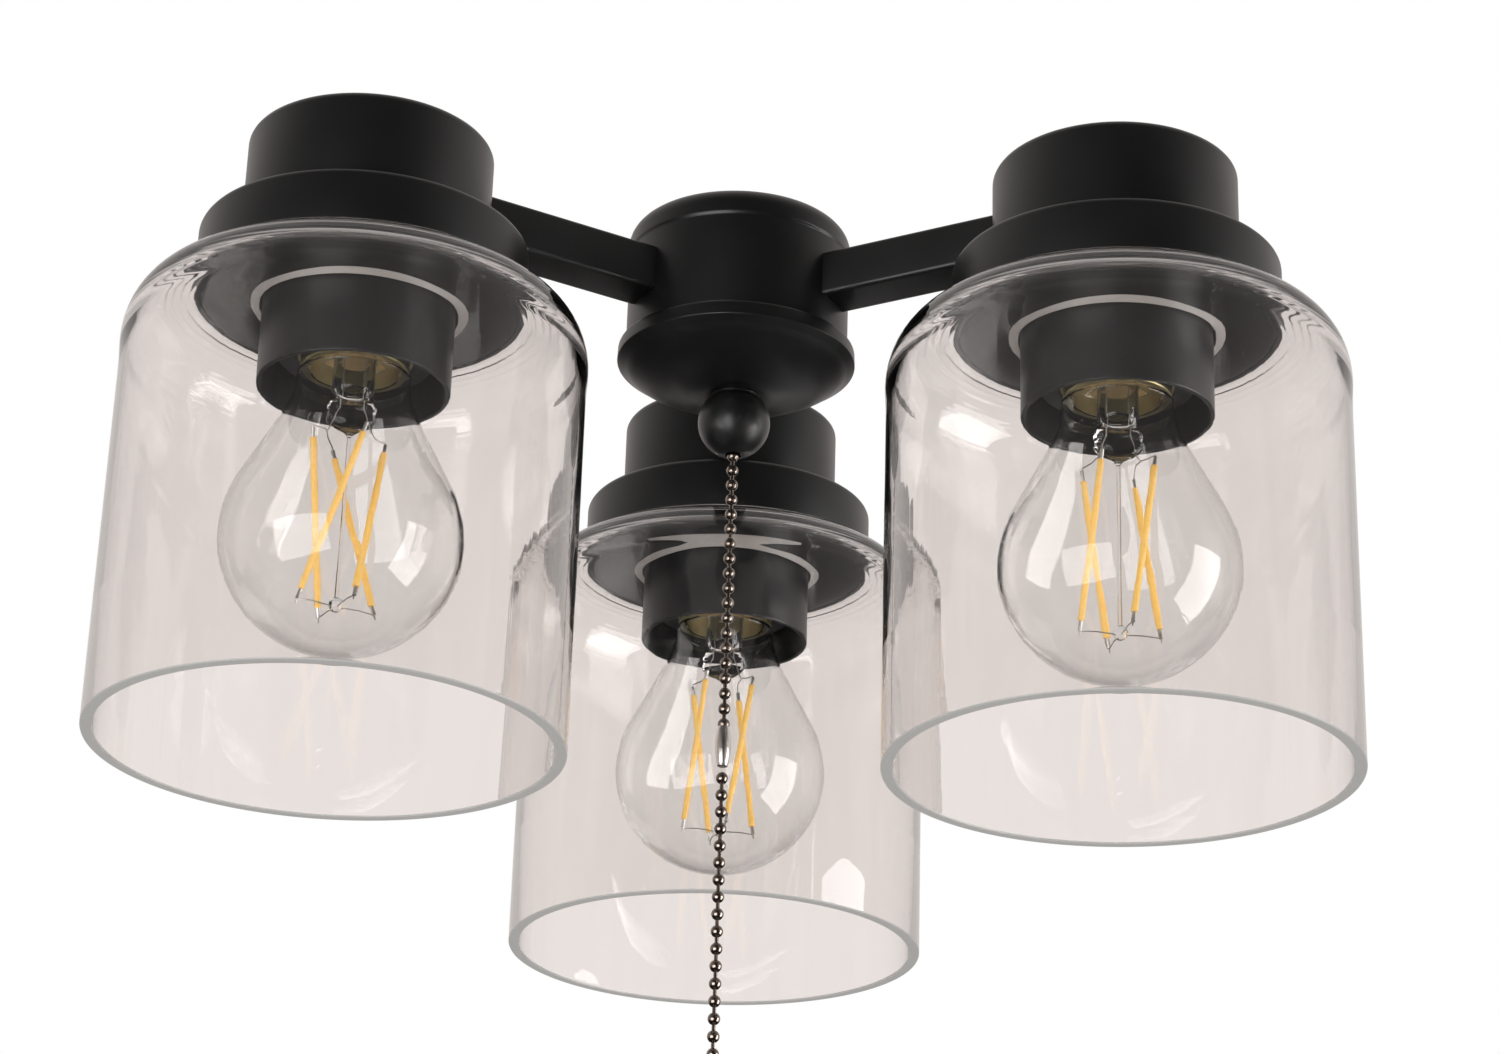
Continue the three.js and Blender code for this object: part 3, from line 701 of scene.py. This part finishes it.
def grown(name, lines, tree, values):
    """Plain mesh that a tree makes of some lines. values are the modifier's inputs by name."""
    source = line_object(name + "_line", lines)
    modifier = source.modifiers.new("grow", "NODES")
    modifier.node_group = tree
    for item in tree.interface.items_tree:
        if item.item_type == "SOCKET" and item.in_out == "INPUT" and item.name in values:
            modifier[item.identifier] = values[item.name]
    source.update_tag()
    bpy.context.view_layer.update()
    shown = source.evaluated_get(bpy.context.evaluated_depsgraph_get())
    mesh = bpy.data.meshes.new_from_object(shown)
    mesh.name = name
    bpy.data.objects.remove(source)
    return mesh


WIRE_TREE = wire_tree()
BEAD_TREE = bead_tree()


def wires(name, lines, radius, finish, body, slot, sides=8, replaced=()):
    values = {"Radius": radius * MM, "Sides": sides, "Material": finish}
    mesh = grown(name, lines, WIRE_TREE, values)
    return finished(name, mesh, [], body, slot, replaced, sharp=50)


# Camera
def place_camera():
    forward = Vector((
        math.sin(CAMERA_YAW) * math.cos(CAMERA_PITCH),
        math.cos(CAMERA_YAW) * math.cos(CAMERA_PITCH),
        math.sin(CAMERA_PITCH),
    ))
    level = Vector((math.cos(CAMERA_YAW), -math.sin(CAMERA_YAW), 0))
    upright = level.cross(forward)
    right = math.cos(CAMERA_ROLL) * level + math.sin(CAMERA_ROLL) * upright
    up = -math.sin(CAMERA_ROLL) * level + math.cos(CAMERA_ROLL) * upright
    data = bpy.data.cameras.new("camera")
    data.sensor_width = SENSOR_WIDTH
    data.lens = CAMERA_FOCAL * SENSOR_WIDTH / IMAGE_WIDTH
    data.clip_start = 0.01
    camera = placed("camera", data)
    turn = Matrix((right, up, -forward)).transposed().to_4x4()
    place = CAMERA_PLACE + Vector((0, 0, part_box("glass_shade_rear")[0].z))
    camera.matrix_world = Matrix.Translation(place) @ turn
    bpy.context.scene.camera = camera
    return right, up, forward


VIEW_RIGHT, VIEW_UP, VIEW_FORWARD = place_camera()


# Pull chain
def chain_length(name, start, end, first_bead, pitch, node=None):
    """A straight length of ball chain between two heights, and the points that it follows."""
    path = [(0, 0, start), (0, 0, end)]
    offset = (start - first_bead) % pitch
    beads = [(0, 0, start - offset), (0, 0, end)]
    values = {
        "Bead Radius": BEAD_DIAMETER / 2 * MM, "Pitch": pitch * MM, "Link Radius": LINK_RADIUS * MM,
        "Material": BRONZE,
    }
    mesh = grown(name, [beads], BEAD_TREE, values)
    piece = finished(name, mesh, [], "pull_chain", "chain_bronze", [node] if node else [], sharp=60)
    return piece, [Vector(point) * MM for point in path]


def coupling():
    """Barrel that joins the two lengths, with rolled ends."""
    radius, top, bottom = reach("chain_coupling")
    outline = [
        *((r, top - down) for r, down in COUPLING_END),
        *((share * radius, top - down) for share, down in COUPLING_SIDE),
        (radius, top - (top - bottom) / 2),
    ]
    mirrored = [(r, top + bottom - z) for r, z in reversed(outline)]
    curve = smooth_line([*outline, *mirrored[1:]], 4)
    profile = [(0, top), *((max(r, 0.0), z) for r, z in curve[1:-1]), (0, curve[-1][1])]
    return turned("coupling_barrel", profile, SMALL, NICKEL, "pull_chain", "nickel", ["chain_coupling"])


def end_bell():
    radius, top, bottom = reach("chain_end_bell")
    height = top - bottom
    side = smooth_line([
        *((r, top - down) for r, down in BELL_TIP),
        *((r, top - share * height) for r, share in BELL_SIDE),
        (radius, top - BELL_WIDEST_SHARE * height),
        *((radius - inward, bottom + up) for inward, up in BELL_LIP),
    ], 4)
    profile = [(0, top), *side, (0, bottom)]
    return turned("chain_bell", profile, SMALL, BRONZE, "pull_chain", "chain_bronze", ["chain_end_bell"])


def pull_chain():
    hidden_top, upper_end = reach("pull_chain_upper")[1:]
    lower_start, lower_end = reach("pull_chain_lower")[1:]
    mouth = reach("ball_finial")[2]
    start = mouth + CHAIN_INSIDE
    first = mouth + UPPER_FIRST_BEAD
    upper, upper_path = chain_length(
        "ball_chain_upper", start, upper_end, first, UPPER_PITCH, "pull_chain_upper")
    chain_length("ball_chain_in_hub", hidden_top, start + CHAIN_PARTING, first, UPPER_PITCH)
    lower, lower_path = chain_length(
        "ball_chain_lower", lower_start, lower_end, lower_start - LOWER_FIRST_BEAD, LOWER_PITCH,
        "pull_chain_lower")
    barrel = coupling()
    bell = end_bell()


pull_chain()


# Hub
def hub_cup():
    radius, top, bottom = reach("hub_housing")
    hole = reach("fan_nipple")[0] + NIPPLE_CLEARANCE
    inner = radius - HUB_WALL
    step = top - HUB_STEP_DROP
    profile = rounded([
        (hole, top), (radius, top, HUB_TOP_ROUND), (radius, step, HUB_STEP_HEIGHT),
        (radius - HUB_STEP, step - HUB_STEP_HEIGHT / 2, HUB_STEP_HEIGHT),
        (radius - HUB_STEP, bottom, EDGE_ROUND), (inner, bottom, EDGE_ROUND),
        (inner, top - HUB_WALL, HUB_TOP_ROUND - HUB_WALL), (hole, top - HUB_WALL),
    ], 8)
    return black_piece("hub_cup", profile, "hub_housing")


def bowl():
    rim, top, bottom = reach("bottom_bowl")
    hub = reach("hub_housing")[0]
    hole = reach("fan_nipple")[0] + NIPPLE_CLEARANCE
    height = top - bottom
    upper, lower = BOWL_RIM_ROUNDS
    inward, down = BOWL_RIM_INSET
    under = [(rim * out, top - height * deep) for out, deep in BOWL_UNDER_SHARES]
    band = rounded([
        (hub - BOWL_LAP, top), (rim - inward, top - down, upper), (rim, top - BOWL_RIM_HEIGHT, lower),
        under[0],
    ])
    outline = [*band[:-1], *smooth_line([*under, (BOWL_SEAT_RADIUS, bottom), (hole, bottom)], 6)]
    return black_piece("bowl", walled(outline, BOWL_WALL), "bottom_bowl")


def ball():
    radius, top, bottom = reach("ball_finial")
    hole = reach("switch_bushing")[0] + NIPPLE_CLEARANCE
    floor = reach("switch_bushing")[2] - NIPPLE_CLEARANCE
    centre = bottom + math.sqrt(radius ** 2 - CHAIN_BORE ** 2)
    collar = math.degrees(math.acos(BALL_COLLAR_RADIUS / radius))
    mouth = -math.degrees(math.acos((CHAIN_BORE + EDGE_ROUND) / radius))
    profile = [
        (hole, top), (BALL_COLLAR_RADIUS, top), *arc((0, centre), radius, collar, mouth, 28),
        (CHAIN_BORE, bottom + EDGE_ROUND), (CHAIN_BORE, floor), (hole, floor),
    ]
    return black_piece("ball", profile, "ball_finial", sides=PLAIN)


def threaded_tube(name, node, bore, finish, slot):
    """Hollow threaded tube, its thread cut over its whole length but the ends."""
    radius, top, bottom = reach(node)
    high, low = top - THREAD_END, bottom + THREAD_END
    rows = dense([(radius, high), (radius, low)], THREAD_PITCH / THREAD_ROWS)
    root = radius - THREAD_DEPTH
    profile = [(bore, top), (root, top), *rows, (root, bottom), (bore, bottom)]
    shape = thread(radius, THREAD_DEPTH, THREAD_PITCH, (low, high))
    return turned(name, profile, SMALL, finish, "kit", slot, [node], shape=shape)


hub_cup()
bowl()
ball()
threaded_tube("hanging_nipple", "fan_nipple", THREAD_BORE, STEEL, "steel")
threaded_tube("ball_bushing", "switch_bushing", CHAIN_BORE, BRASS, "brass")


# Lamps
def rounded_square(half, corner, steps=5):
    """Corner points of a square section with rounded corners, going round once."""
    made = []
    for quarter in range(4):
        turn = quarter * math.pi / 2
        middle_angle = turn + math.pi / 4
        cx = (half - corner) * math.sqrt(2) * math.cos(middle_angle)
        cy = (half - corner) * math.sqrt(2) * math.sin(middle_angle)
        for step in range(steps + 1):
            angle = turn + math.pi / 2 * step / steps
            made.append((cx + corner * math.cos(angle), cy + corner * math.sin(angle)))
    return made


def arm(side):
    """Square tube with rounded corners, from inside the hub's wall to inside the cap's wall."""
    low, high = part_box("arm_rear")
    start, end = low.y / MM, high.y / MM
    half = (high.z - low.z) / 2 / MM
    level = (high.z + low.z) / 2 / MM
    x, y = middle(f"bulb_base_{side}")
    out = Vector((x, y, 0)).normalized()
    across = Vector((-out.y, out.x, 0))
    mesh = bpy.data.meshes.new(f"arm_tube_{side}")
    work = bmesh.new()
    loops = []
    outer = rounded_square(half, ARM_CORNER)
    inner = rounded_square(half - ARM_WALL, ARM_CORNER / 2)
    for section, along in ((outer, start), (outer, end), (inner, end), (inner, start)):
        points = [out * along + across * u + Vector((0, 0, level + v)) for u, v in section]
        loops.append([work.verts.new(point * MM) for point in points])
    for first, second in zip(loops, [*loops[1:], loops[0]]):
        for i in range(len(first)):
            j = (i + 1) % len(first)
            work.faces.new((first[i], first[j], second[j], second[i])).smooth = True
    bmesh.ops.recalc_face_normals(work, faces=work.faces)
    work.to_mesh(mesh)
    work.free()
    return finished(f"arm_tube_{side}", mesh, [BLACK], "kit", "black_metal", [f"arm_{side}"])


def lamp_cap(side, centre):
    radius, top, bottom = reach("lamp_cap_rear")
    inner = radius - CAP_WALL
    profile = rounded([
        (0, top), (radius, top, CAP_ROUND), (radius, bottom, EDGE_ROUND), (inner, bottom),
        (inner, top - CAP_WALL, CAP_ROUND - CAP_WALL), (0, top - CAP_WALL),
    ])
    return black_piece(f"cap_{side}", profile, f"lamp_cap_{side}", centre)


def lamp_flange(side, centre):
    radius, top, bottom = reach("lamp_flange_rear")
    hole = LAMP_NIPPLE_HOLE
    plate_top = reach("shade_plate_rear")[1] + FIT_GAP
    inner = radius - FLANGE_WALL
    under = top - FLANGE_WALL
    profile = rounded([
        (hole, top), (radius, top, FLANGE_ROUND), (radius, bottom, FLANGE_LIP), (inner, bottom),
        (inner, plate_top), (inner - PLATE_LEDGE, plate_top), (inner - PLATE_LEDGE, under), (hole, under),
    ])
    return black_piece(f"flange_{side}", profile, f"lamp_flange_{side}", centre)


def shade_plate(side, centre):
    radius, top, bottom = reach("shade_plate_rear")
    profile = rounded([
        (PLATE_HOLE, top), (radius, top, EDGE_ROUND), (radius, bottom, EDGE_ROUND), (PLATE_HOLE, bottom),
    ], 3)
    return black_piece(f"plate_{side}", profile, f"shade_plate_{side}", centre)


def glass_shade(side, centre):
    """Pressed glass shade: flat top with faint mould rings, round shoulder, straight wall, ground lip."""
    radius, top, bottom = reach("glass_shade_rear")
    inner = radius - SHADE_WALL
    under = top - SHADE_TOP_THICKNESS
    outer = rounded([
        (SHADE_HOLE, top), (radius, top, SHADE_SHOULDER), (radius, bottom, SHADE_LIP), (inner, bottom),
    ], SHADE_CURVE_STEPS)
    bend, wall = SHADE_WALL_LOW
    seat_mouth, seat_floor = SHADE_SEAT
    seat = under + SHADE_SEAT_DEPTH
    hollow = rounded([
        (radius, bottom), (inner, bottom, SHADE_LIP), (radius - wall, bottom + bend, SHADE_WALL_BEND),
        (radius - SHADE_WALL_HIGH, under, SHADE_INNER_SHOULDER),
        (seat_mouth, under, SHADE_SEAT_EDGE), (seat_floor, seat), (SHADE_HOLE, seat),
    ], SHADE_CURVE_STEPS)
    ripple_top = SHADE_RIPPLES * SHADE_RIPPLE_PITCH

    def rippled(point):
        """Shallow rings that the mould leaves on the outside of the shoulder."""
        from_edge = point[0] - SHADE_RIPPLE_START
        if point[1] < top - SHADE_SHOULDER or not 0 < from_edge < ripple_top:
            return point
        wave = SHADE_RIPPLE_DEPTH * (0.5 - 0.5 * math.cos(2 * math.pi * from_edge / SHADE_RIPPLE_PITCH))
        return point[0], point[1] - wave

    outside, inside = SHADE_STEPS
    profile = [*map(rippled, dense(outer[:-1], outside)), *dense(hollow[1:], inside)]
    crease = under - SHADE_INNER_SHOULDER

    def creased(r, z, angle):
        """Uneven ring inside and a faint swell outside, where the mould's two parts met."""
        if r < radius - SHADE_SKIN:
            slow, quick = SHADE_CREASE_WAVES
            waves = math.sin(slow * angle + SHADE_CREASE_PHASE) * math.sin(quick * angle)
            uneven = SHADE_CREASE_EVEN + (1 - SHADE_CREASE_EVEN) * waves
            r -= SHADE_CREASE * uneven * math.exp(-((z - crease) / SHADE_CREASE_HEIGHT) ** 2)
        else:
            spread = SHADE_SWELL_SPREAD * SHADE_CREASE_HEIGHT
            r += SHADE_CREASE * math.exp(-((z - crease + SHADE_SWELL_DROP) / spread) ** 2)
        return r * math.cos(angle), r * math.sin(angle), z

    mesh = turned_mesh(f"shade_{side}", profile, FINE, centre, creased)
    materials = [SHADE_GLASS, GROUND, GROUND_SEAT]
    finished(f"shade_{side}", mesh, materials, "kit", "shade_glass", [f"glass_shade_{side}"], sharp=60)
    lip = (bottom + SHADE_LIP + FACE_MARGIN) * MM
    place = Vector((*centre, 0)) * MM
    for face in mesh.polygons:
        at_lip = all(mesh.vertices[i].co.z < lip for i in face.vertices)
        height = face.center.z / MM
        out = (face.center - place).xy.length / MM
        at_seat = under + FACE_MARGIN < height < seat - FACE_MARGIN and out < seat_floor
        face.material_index = 1 if at_lip else 2 if at_seat else 0


def shade_sleeve(side, centre):
    radius, top, bottom = reach("shade_sleeve_rear")
    top = reach("glass_shade_rear")[1] - SHADE_TOP_THICKNESS + SHADE_SEAT_DEPTH - SLEEVE_GAP
    inner = radius - SLEEVE_WALL
    seat = SLEEVE_THREAD_RADIUS
    profile = rounded([
        (seat, top), (radius, top, EDGE_ROUND), (radius, bottom, EDGE_ROUND), (inner, bottom, EDGE_ROUND),
        (inner, top - SLEEVE_WALL), (seat + SLEEVE_WALL, top - SLEEVE_WALL),
        (seat + SLEEVE_WALL, top - SLEEVE_THREAD_HEIGHT), (seat, top - SLEEVE_THREAD_HEIGHT),
    ])
    return black_piece(f"sleeve_{side}", profile, f"shade_sleeve_{side}", centre, body=f"sleeve_{side}")


def socket(side, centre):
    """Moulded socket body and the screw shell in it."""
    radius, top, bottom = reach("socket_body_rear")
    roof = top - SOCKET_ROOF
    seat = top - SOCKET_RECESS
    upper, lower = SOCKET_ROUNDS
    profile = rounded([
        (0, seat), (LAMP_NIPPLE_HOLE, seat), (LAMP_NIPPLE_HOLE, top), (radius, top, upper),
        (radius, bottom, lower), (SOCKET_CAVITY, bottom, EDGE_ROUND), (SOCKET_CAVITY, roof), (0, roof),
    ])
    turned(f"socket_{side}", profile, PLAIN, PHENOLIC, "kit", "phenolic", [f"socket_body_{side}"], centre)
    outer, shell_top, shell_bottom = reach("socket_shell_rear")
    bore = outer - SHELL_WALL
    above, below = SHELL_ENDS
    rows = dense([(bore, shell_bottom + below), (bore, shell_top - above)], SHELL_PITCH / SCREW_ROWS)
    shell = [
        (SHELL_MOUTH, shell_top), (outer, shell_top), (outer, shell_bottom), (bore, shell_bottom), *rows,
        (bore, shell_top - SHELL_WALL), (SHELL_MOUTH, shell_top - SHELL_WALL),
    ]
    turned(f"screw_shell_{side}", shell, PLAIN, BRASS, "kit", "brass", [f"socket_shell_{side}"], centre)


def bulb_base(side, centre):
    """Screw base of the bulb: rolled rim, thread, the shape of an insulator and tip in the same brass, and
    the cement in its recess.
    """
    rim_radius, top, bottom = reach("bulb_base_rear")
    thread_low = bottom + BASE_RIM_HEIGHT + BASE_THREAD_END
    thread_high = top - BASE_THREAD_START
    rows = dense([(BASE_RADIUS, thread_high), (BASE_RADIUS, thread_low)], SHELL_PITCH / SCREW_ROWS)
    root = BASE_RADIUS - BASE_THREAD_DEPTH
    recess = bottom + BASE_RECESS
    upper, lower = BASE_RIM_ROUNDS
    profile = [
        (0, top), *((r, top - down) for r, down in BASE_CROWN), (root, top - BASE_CROWN_HEIGHT), *rows,
        (root, bottom + BASE_RIM_HEIGHT), (rim_radius, bottom + BASE_RIM_HEIGHT - upper),
        (rim_radius, bottom + lower), (rim_radius - lower, bottom),
        (BASE_RECESS_RADIUS, bottom), (BASE_RECESS_RADIUS, recess), (0, recess),
    ]
    shape = thread(BASE_RADIUS, BASE_THREAD_DEPTH, SHELL_PITCH, (thread_low, thread_high))
    mesh = turned_mesh(f"base_{side}", profile, SMALL, centre, shape)
    finished(f"base_{side}", mesh, [BRASS, CEMENT], f"bulb_{side}", "brass", [f"bulb_base_{side}"])
    for face in mesh.polygons:
        if all(abs(mesh.vertices[i].co.z - recess * MM) < MM / 10 for i in face.vertices):
            face.material_index = 1


def bulb_globe(side, centre):
    """Thin clear globe: neck in the base, flare, and a round belly."""
    radius, top, bottom = reach("bulb_globe_rear")
    rim = reach("bulb_base_rear")[2] - FIT_GAP
    middle_height = bottom + radius
    angle = math.radians(GLOBE_SHOULDER_ANGLE)
    out, up = math.cos(angle), math.sin(angle)
    shoulder = (radius * out, middle_height + radius * up)
    neck = rim - NECK_FLARE
    outline = [
        (NECK_INSIDE_RADIUS, top), (NECK_INSIDE_RADIUS, rim),
        *bezier(
            (NECK_RADIUS, neck),
            (NECK_RADIUS, neck - NECK_HANDLE),
            (shoulder[0] - GLOBE_TOP_HANDLE * up, shoulder[1] + GLOBE_TOP_HANDLE * out),
            shoulder,
            24,
        ),
        *arc((0, middle_height), radius, GLOBE_SHOULDER_ANGLE, -90, 30)[1:-1],
        (0, bottom),
    ]
    return turned(
        f"globe_{side}", walled(outline, GLOBE_WALL), PLAIN, BULB_GLASS, f"bulb_{side}", "bulb_glass",
        [f"bulb_globe_{side}"], centre)


def bulb_stem(side, centre):
    """Hollow glass stem, flattened where it is pinched on the lead wires, and the rod below it."""
    top, bottom = reach("bulb_stem_rear")[1:]
    pinch_top = top - STEM_TUBE_LENGTH
    rod_top = pinch_top - PINCH_LENGTH
    outline = smooth_line([
        (STEM_RADIUS, top), (STEM_RADIUS, pinch_top + STEM_BEND), (STEM_RADIUS, pinch_top),
        *((PINCH_RADIUS - inward, pinch_top - down) for inward, down in PINCH_EDGE),
        *((radius, rod_top - down) for radius, down in PINCH_END),
    ], 5)
    profile = [(STEM_BORE, top), *outline, (STEM_ROD_RADIUS, bottom), (0, bottom)]
    cavity = [(radius, pinch_top - down) for radius, down in STEM_CAVITY]
    turn = math.radians(PINCH_TURN[side])
    start, length = PINCH_BLEND

    def shape(r, z, angle):
        """Flattens tube and pinch across the wires, but not the rod."""
        flat = min(max((pinch_top + start - z) / length, 0.0), 1.0)
        squash = 1 - (1 - PINCH_FLATNESS) * flat * flat * (3 - 2 * flat) * (r > 2 * STEM_ROD_RADIUS)
        u, v = r * math.cos(angle), r * math.sin(angle) * squash
        return u * math.cos(turn) - v * math.sin(turn), u * math.sin(turn) + v * math.cos(turn), z

    closed = [*reversed(profile), *reversed(cavity)]
    return turned(
        f"stem_{side}", closed, SMALL, STEM_GLASS, f"bulb_{side}", "bulb_glass", [f"bulb_stem_{side}"],
        centre, shape)


def bulb_filaments(side, centre):
    """Four amber sticks leaning round the stem, their end tabs, and the fine wires that hold them."""
    body = f"bulb_{side}"
    bottom = reach("bulb_filaments_rear")[2]
    foot = bottom + STICK_FOOT
    head = foot + STICK_HEIGHT
    rim = reach("bulb_base_rear")[2]
    pinch = rim - WIRE_EXIT
    turn, twist = STICK_TURN[side]

    def at(radius, angle, height):
        radians = math.radians(angle)
        x, y = centre[0] + radius * math.cos(radians), centre[1] + radius * math.sin(radians)
        return Vector((x, y, height))

    sticks, tabs, fine = [], [], []
    bead = at(0, 0, foot)
    for i in range(STICK_COUNT):
        angle = turn + 360 * i / STICK_COUNT
        high, low = at(STICK_TOP_RADIUS, angle, head), at(STICK_FOOT_RADIUS, angle + twist, foot)
        along = (high - low).normalized()
        sticks.append([low + along * TAB_LENGTH, high - along * TAB_LENGTH])
        tab = along * (TAB_LENGTH + TAB_OVERLAP)
        tabs += [[low, low + tab], [high - tab, high]]
        start, bend = (bead + (low - bead) * share for share in SPOKE_SHARES)
        fine.append([start, bend + Vector((0, 0, SPOKE_LIFT)), low, low - along * WIRE_TAIL])
        near = math.cos(math.radians(angle - PINCH_TURN[side])) > 0
        holder = at(HOLDER_RADIUS, PINCH_TURN[side] + (0 if near else 180), pinch)
        sideways = Vector((-along.y, along.x, 0)).normalized() * HOLDER_SIDEWAYS
        bend = holder * HOLDER_SHARES[0] + high * HOLDER_SHARES[1] + sideways
        fine.append(smooth_line([holder, bend, high + Vector((0, 0, HOLDER_LIFT))], 4))
    levels = (rim + LEAD_RISES[0], pinch + LEAD_RISES[1], pinch)
    for offset in (0, 180):
        around = PINCH_TURN[side] + offset
        fine.append([at(radius, around, level) for radius, level in zip(LEAD_RADII, levels)])
    wires(f"sticks_{side}", sticks, STICK_RADIUS, AMBER, body, "filament", 14, [f"bulb_filaments_{side}"])
    wires(f"tabs_{side}", tabs, TAB_RADIUS, TAB, body, "steel", 8)
    wires(f"wires_{side}", fine, WIRE_RADIUS, WIRE, body, "steel", 6)
    heart = bottom + GLASS_BEAD_RADIUS
    ball_side = arc((0, heart), GLASS_BEAD_RADIUS, 90, -90, 12)[1:-1]
    profile = [(0, heart + GLASS_BEAD_RADIUS), *ball_side, (0, bottom)]
    turned(f"bead_{side}", profile, TINY, STEM_GLASS, body, "bulb_glass", centre=centre)


for side in SIDES:
    centre = middle(f"bulb_base_{side}")
    arm(side)
    lamp_cap(side, centre)
    lamp_flange(side, centre)
    shade_plate(side, centre)
    glass_shade(side, centre)
    shade_sleeve(side, centre)
    socket(side, centre)
    bulb_base(side, centre)
    bulb_globe(side, centre)
    bulb_stem(side, centre)
    bulb_filaments(side, centre)

# Inner CAD pieces that stay as they are
CARRIED_FINISHES = {
    "nipple_washer": STEEL, "nipple_nut": STEEL, "cross_bar": STEEL, "bushing_nut": STEEL,
    "switch_body": PHENOLIC, "switch_ratchet": NYLON,
    "lamp_nipple": STEEL, "lamp_lead": INSULATION, "socket_contact": BRASS,
}
for name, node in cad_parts.items():
    finish = next((f for start, f in CARRIED_FINISHES.items() if name.startswith(start)), None)
    if finish:
        node.data.materials.clear()
        node.data.materials.append(finish)


# Studio
AMBIENT = 0.85
BACKDROP_TINT = (0.93, 0.875, 0.85)  # as glass shows it
ECHO_IN_WALL = 0.45  # of the backdrop, for light that has been thrown back inside a glass wall
ROOM_TINT = (1.0, 0.94, 0.91)
ROOM_FRONT = 0.035
ROOM_BACK = 0.75
ROOM_FLOOR = 0.03
BACK_LEAN = (-0.85, 0.5)  # of a ray towards the back, where the room's back starts and is full
FLOOR_LEAN = (-0.1, 0.35)  # of a ray downwards, the same for its floor
FLOOR_SIZE = 40.0  # metres from its middle to its edge
FLOOR_LEVEL = -1.15
FLOOR_LIFT = 0.2  # glow that keeps it white to the camera


def softbox(name, across, above, distance, width, height, radiance):
    aim = Vector((0, 0, -0.1))
    yaw, pitch = math.radians(across), math.radians(above)
    towards = (
        -VIEW_FORWARD * math.cos(yaw) * math.cos(pitch)
        + VIEW_RIGHT * math.sin(yaw) * math.cos(pitch)
        + VIEW_UP * math.sin(pitch)
    )
    data = bpy.data.lights.new(name, "AREA")
    data.shape = "RECTANGLE"
    data.size, data.size_y = width, height
    data.energy = radiance * math.pi * width * height
    lamp = placed(name, data)
    lamp.location = aim + towards * distance
    lamp.rotation_euler = towards.to_track_quat("Z", "Y").to_euler()
    lamp.visible_camera = False
    return lamp


def studio_world():
    """White to the eye."""
    world = bpy.data.worlds.new("studio")
    bpy.context.scene.world = world
    shader = Shader(world)
    path = shader.node("ShaderNodeLightPath")
    camera = shader.value(path, "Is Camera Ray")
    softened = shader.value(path, "Diffuse Depth").math("GREATER_THAN", 0.5)
    mirrored = shader.value(path, "Glossy Depth").math("GREATER_THAN", 0.5)
    passed = shader.value(path, "Is Transmission Ray")
    one_wall = shader.value(path, "Transmission Depth").math("LESS_THAN", 2.5)
    reflected = shader.value(path, "Is Glossy Ray") * (1 - passed)

    def along(direction):
        inputs = {0: shader.place("Generated"), 1: direction}
        node = shader.node("ShaderNodeVectorMath", inputs, operation="DOT_PRODUCT")
        return shader.value(node, "Value")

    behind = shader.between(along((0, 1, 0)), *BACK_LEAN)
    below = shader.between(along((0, 0, -1)), *FLOOR_LEAN)
    in_wall = mirrored * passed * one_wall * (1 - below)
    gloss = reflected.math("MAXIMUM", mirrored * (1 - in_wall))
    gloss = gloss * (1 - in_wall) * (1 - softened) * (1 - camera)
    through = passed * (1 - gloss) * (1 - softened)
    room = (ROOM_FRONT + behind * (ROOM_BACK - ROOM_FRONT)) * (1 - below) + ROOM_FLOOR * below
    seen = camera + through * (1 - (1 - ECHO_IN_WALL) * in_wall)
    strength = seen + (1 - camera) * (1 - through) * (gloss * room + (1 - gloss) * AMBIENT)
    colour = shader.mix(through, (1, 1, 1), BACKDROP_TINT)
    colour = shader.mix(gloss, colour, ROOM_TINT)
    light = shader.node("ShaderNodeBackground", {"Color": colour, "Strength": strength})
    shader.node("ShaderNodeOutputWorld", {"Surface": shader.value(light, "Background")})


def floor():
    """What gloss would see of it is left to the world."""
    mesh = bpy.data.meshes.new("floor")
    corners = [
        (x * FLOOR_SIZE, y * FLOOR_SIZE, FLOOR_LEVEL) for x, y in ((-1, -1), (1, -1), (1, 1), (-1, 1))
    ]
    mesh.from_pydata(corners, [], [(0, 1, 2, 3)])
    shader = material("pale_floor")
    cloud = shader.noise(900, detail=2)
    path = shader.node("ShaderNodeLightPath")
    lift = shader.mix(shader.value(path, "Is Camera Ray"), (0, 0, 0), (FLOOR_LIFT,) * 3)
    pale = shader.node("ShaderNodeBsdfPrincipled", {
        "Base Color": shader.mix(cloud, (0.94, 0.94, 0.94), (0.96, 0.96, 0.96)), "Roughness": 0.9,
        "Emission Color": lift, "Emission Strength": 1.0,
    })
    mirrored = shader.value(path, "Glossy Depth").math("GREATER_THAN", 0.5)
    both = shader.node("ShaderNodeMixShader", {
        0: mirrored, 1: shader.value(pale, "BSDF"),
        2: shader.value(shader.node("ShaderNodeBsdfTransparent"), "BSDF"),
    })
    shader.node("ShaderNodeOutputMaterial", {"Surface": shader.value(both, "Shader")})
    mesh.materials.append(shader.owner)
    placed("floor", mesh)


left = softbox("softbox_left", across=-32.5, above=4, distance=1.6, width=1.46, height=1.1, radiance=4.5)
right = softbox("softbox_right", across=75.5, above=-11, distance=1.6, width=0.95, height=1.49, radiance=6.5)
for box in (left, right):
    box.visible_diffuse = False
key = softbox("soft_key", across=-20, above=35, distance=2.2, width=1.6, height=1.6, radiance=0.9)
key.visible_glossy = False
key.visible_transmission = False
studio_world()
floor()
bpy.context.scene.view_settings.view_transform = "Standard"
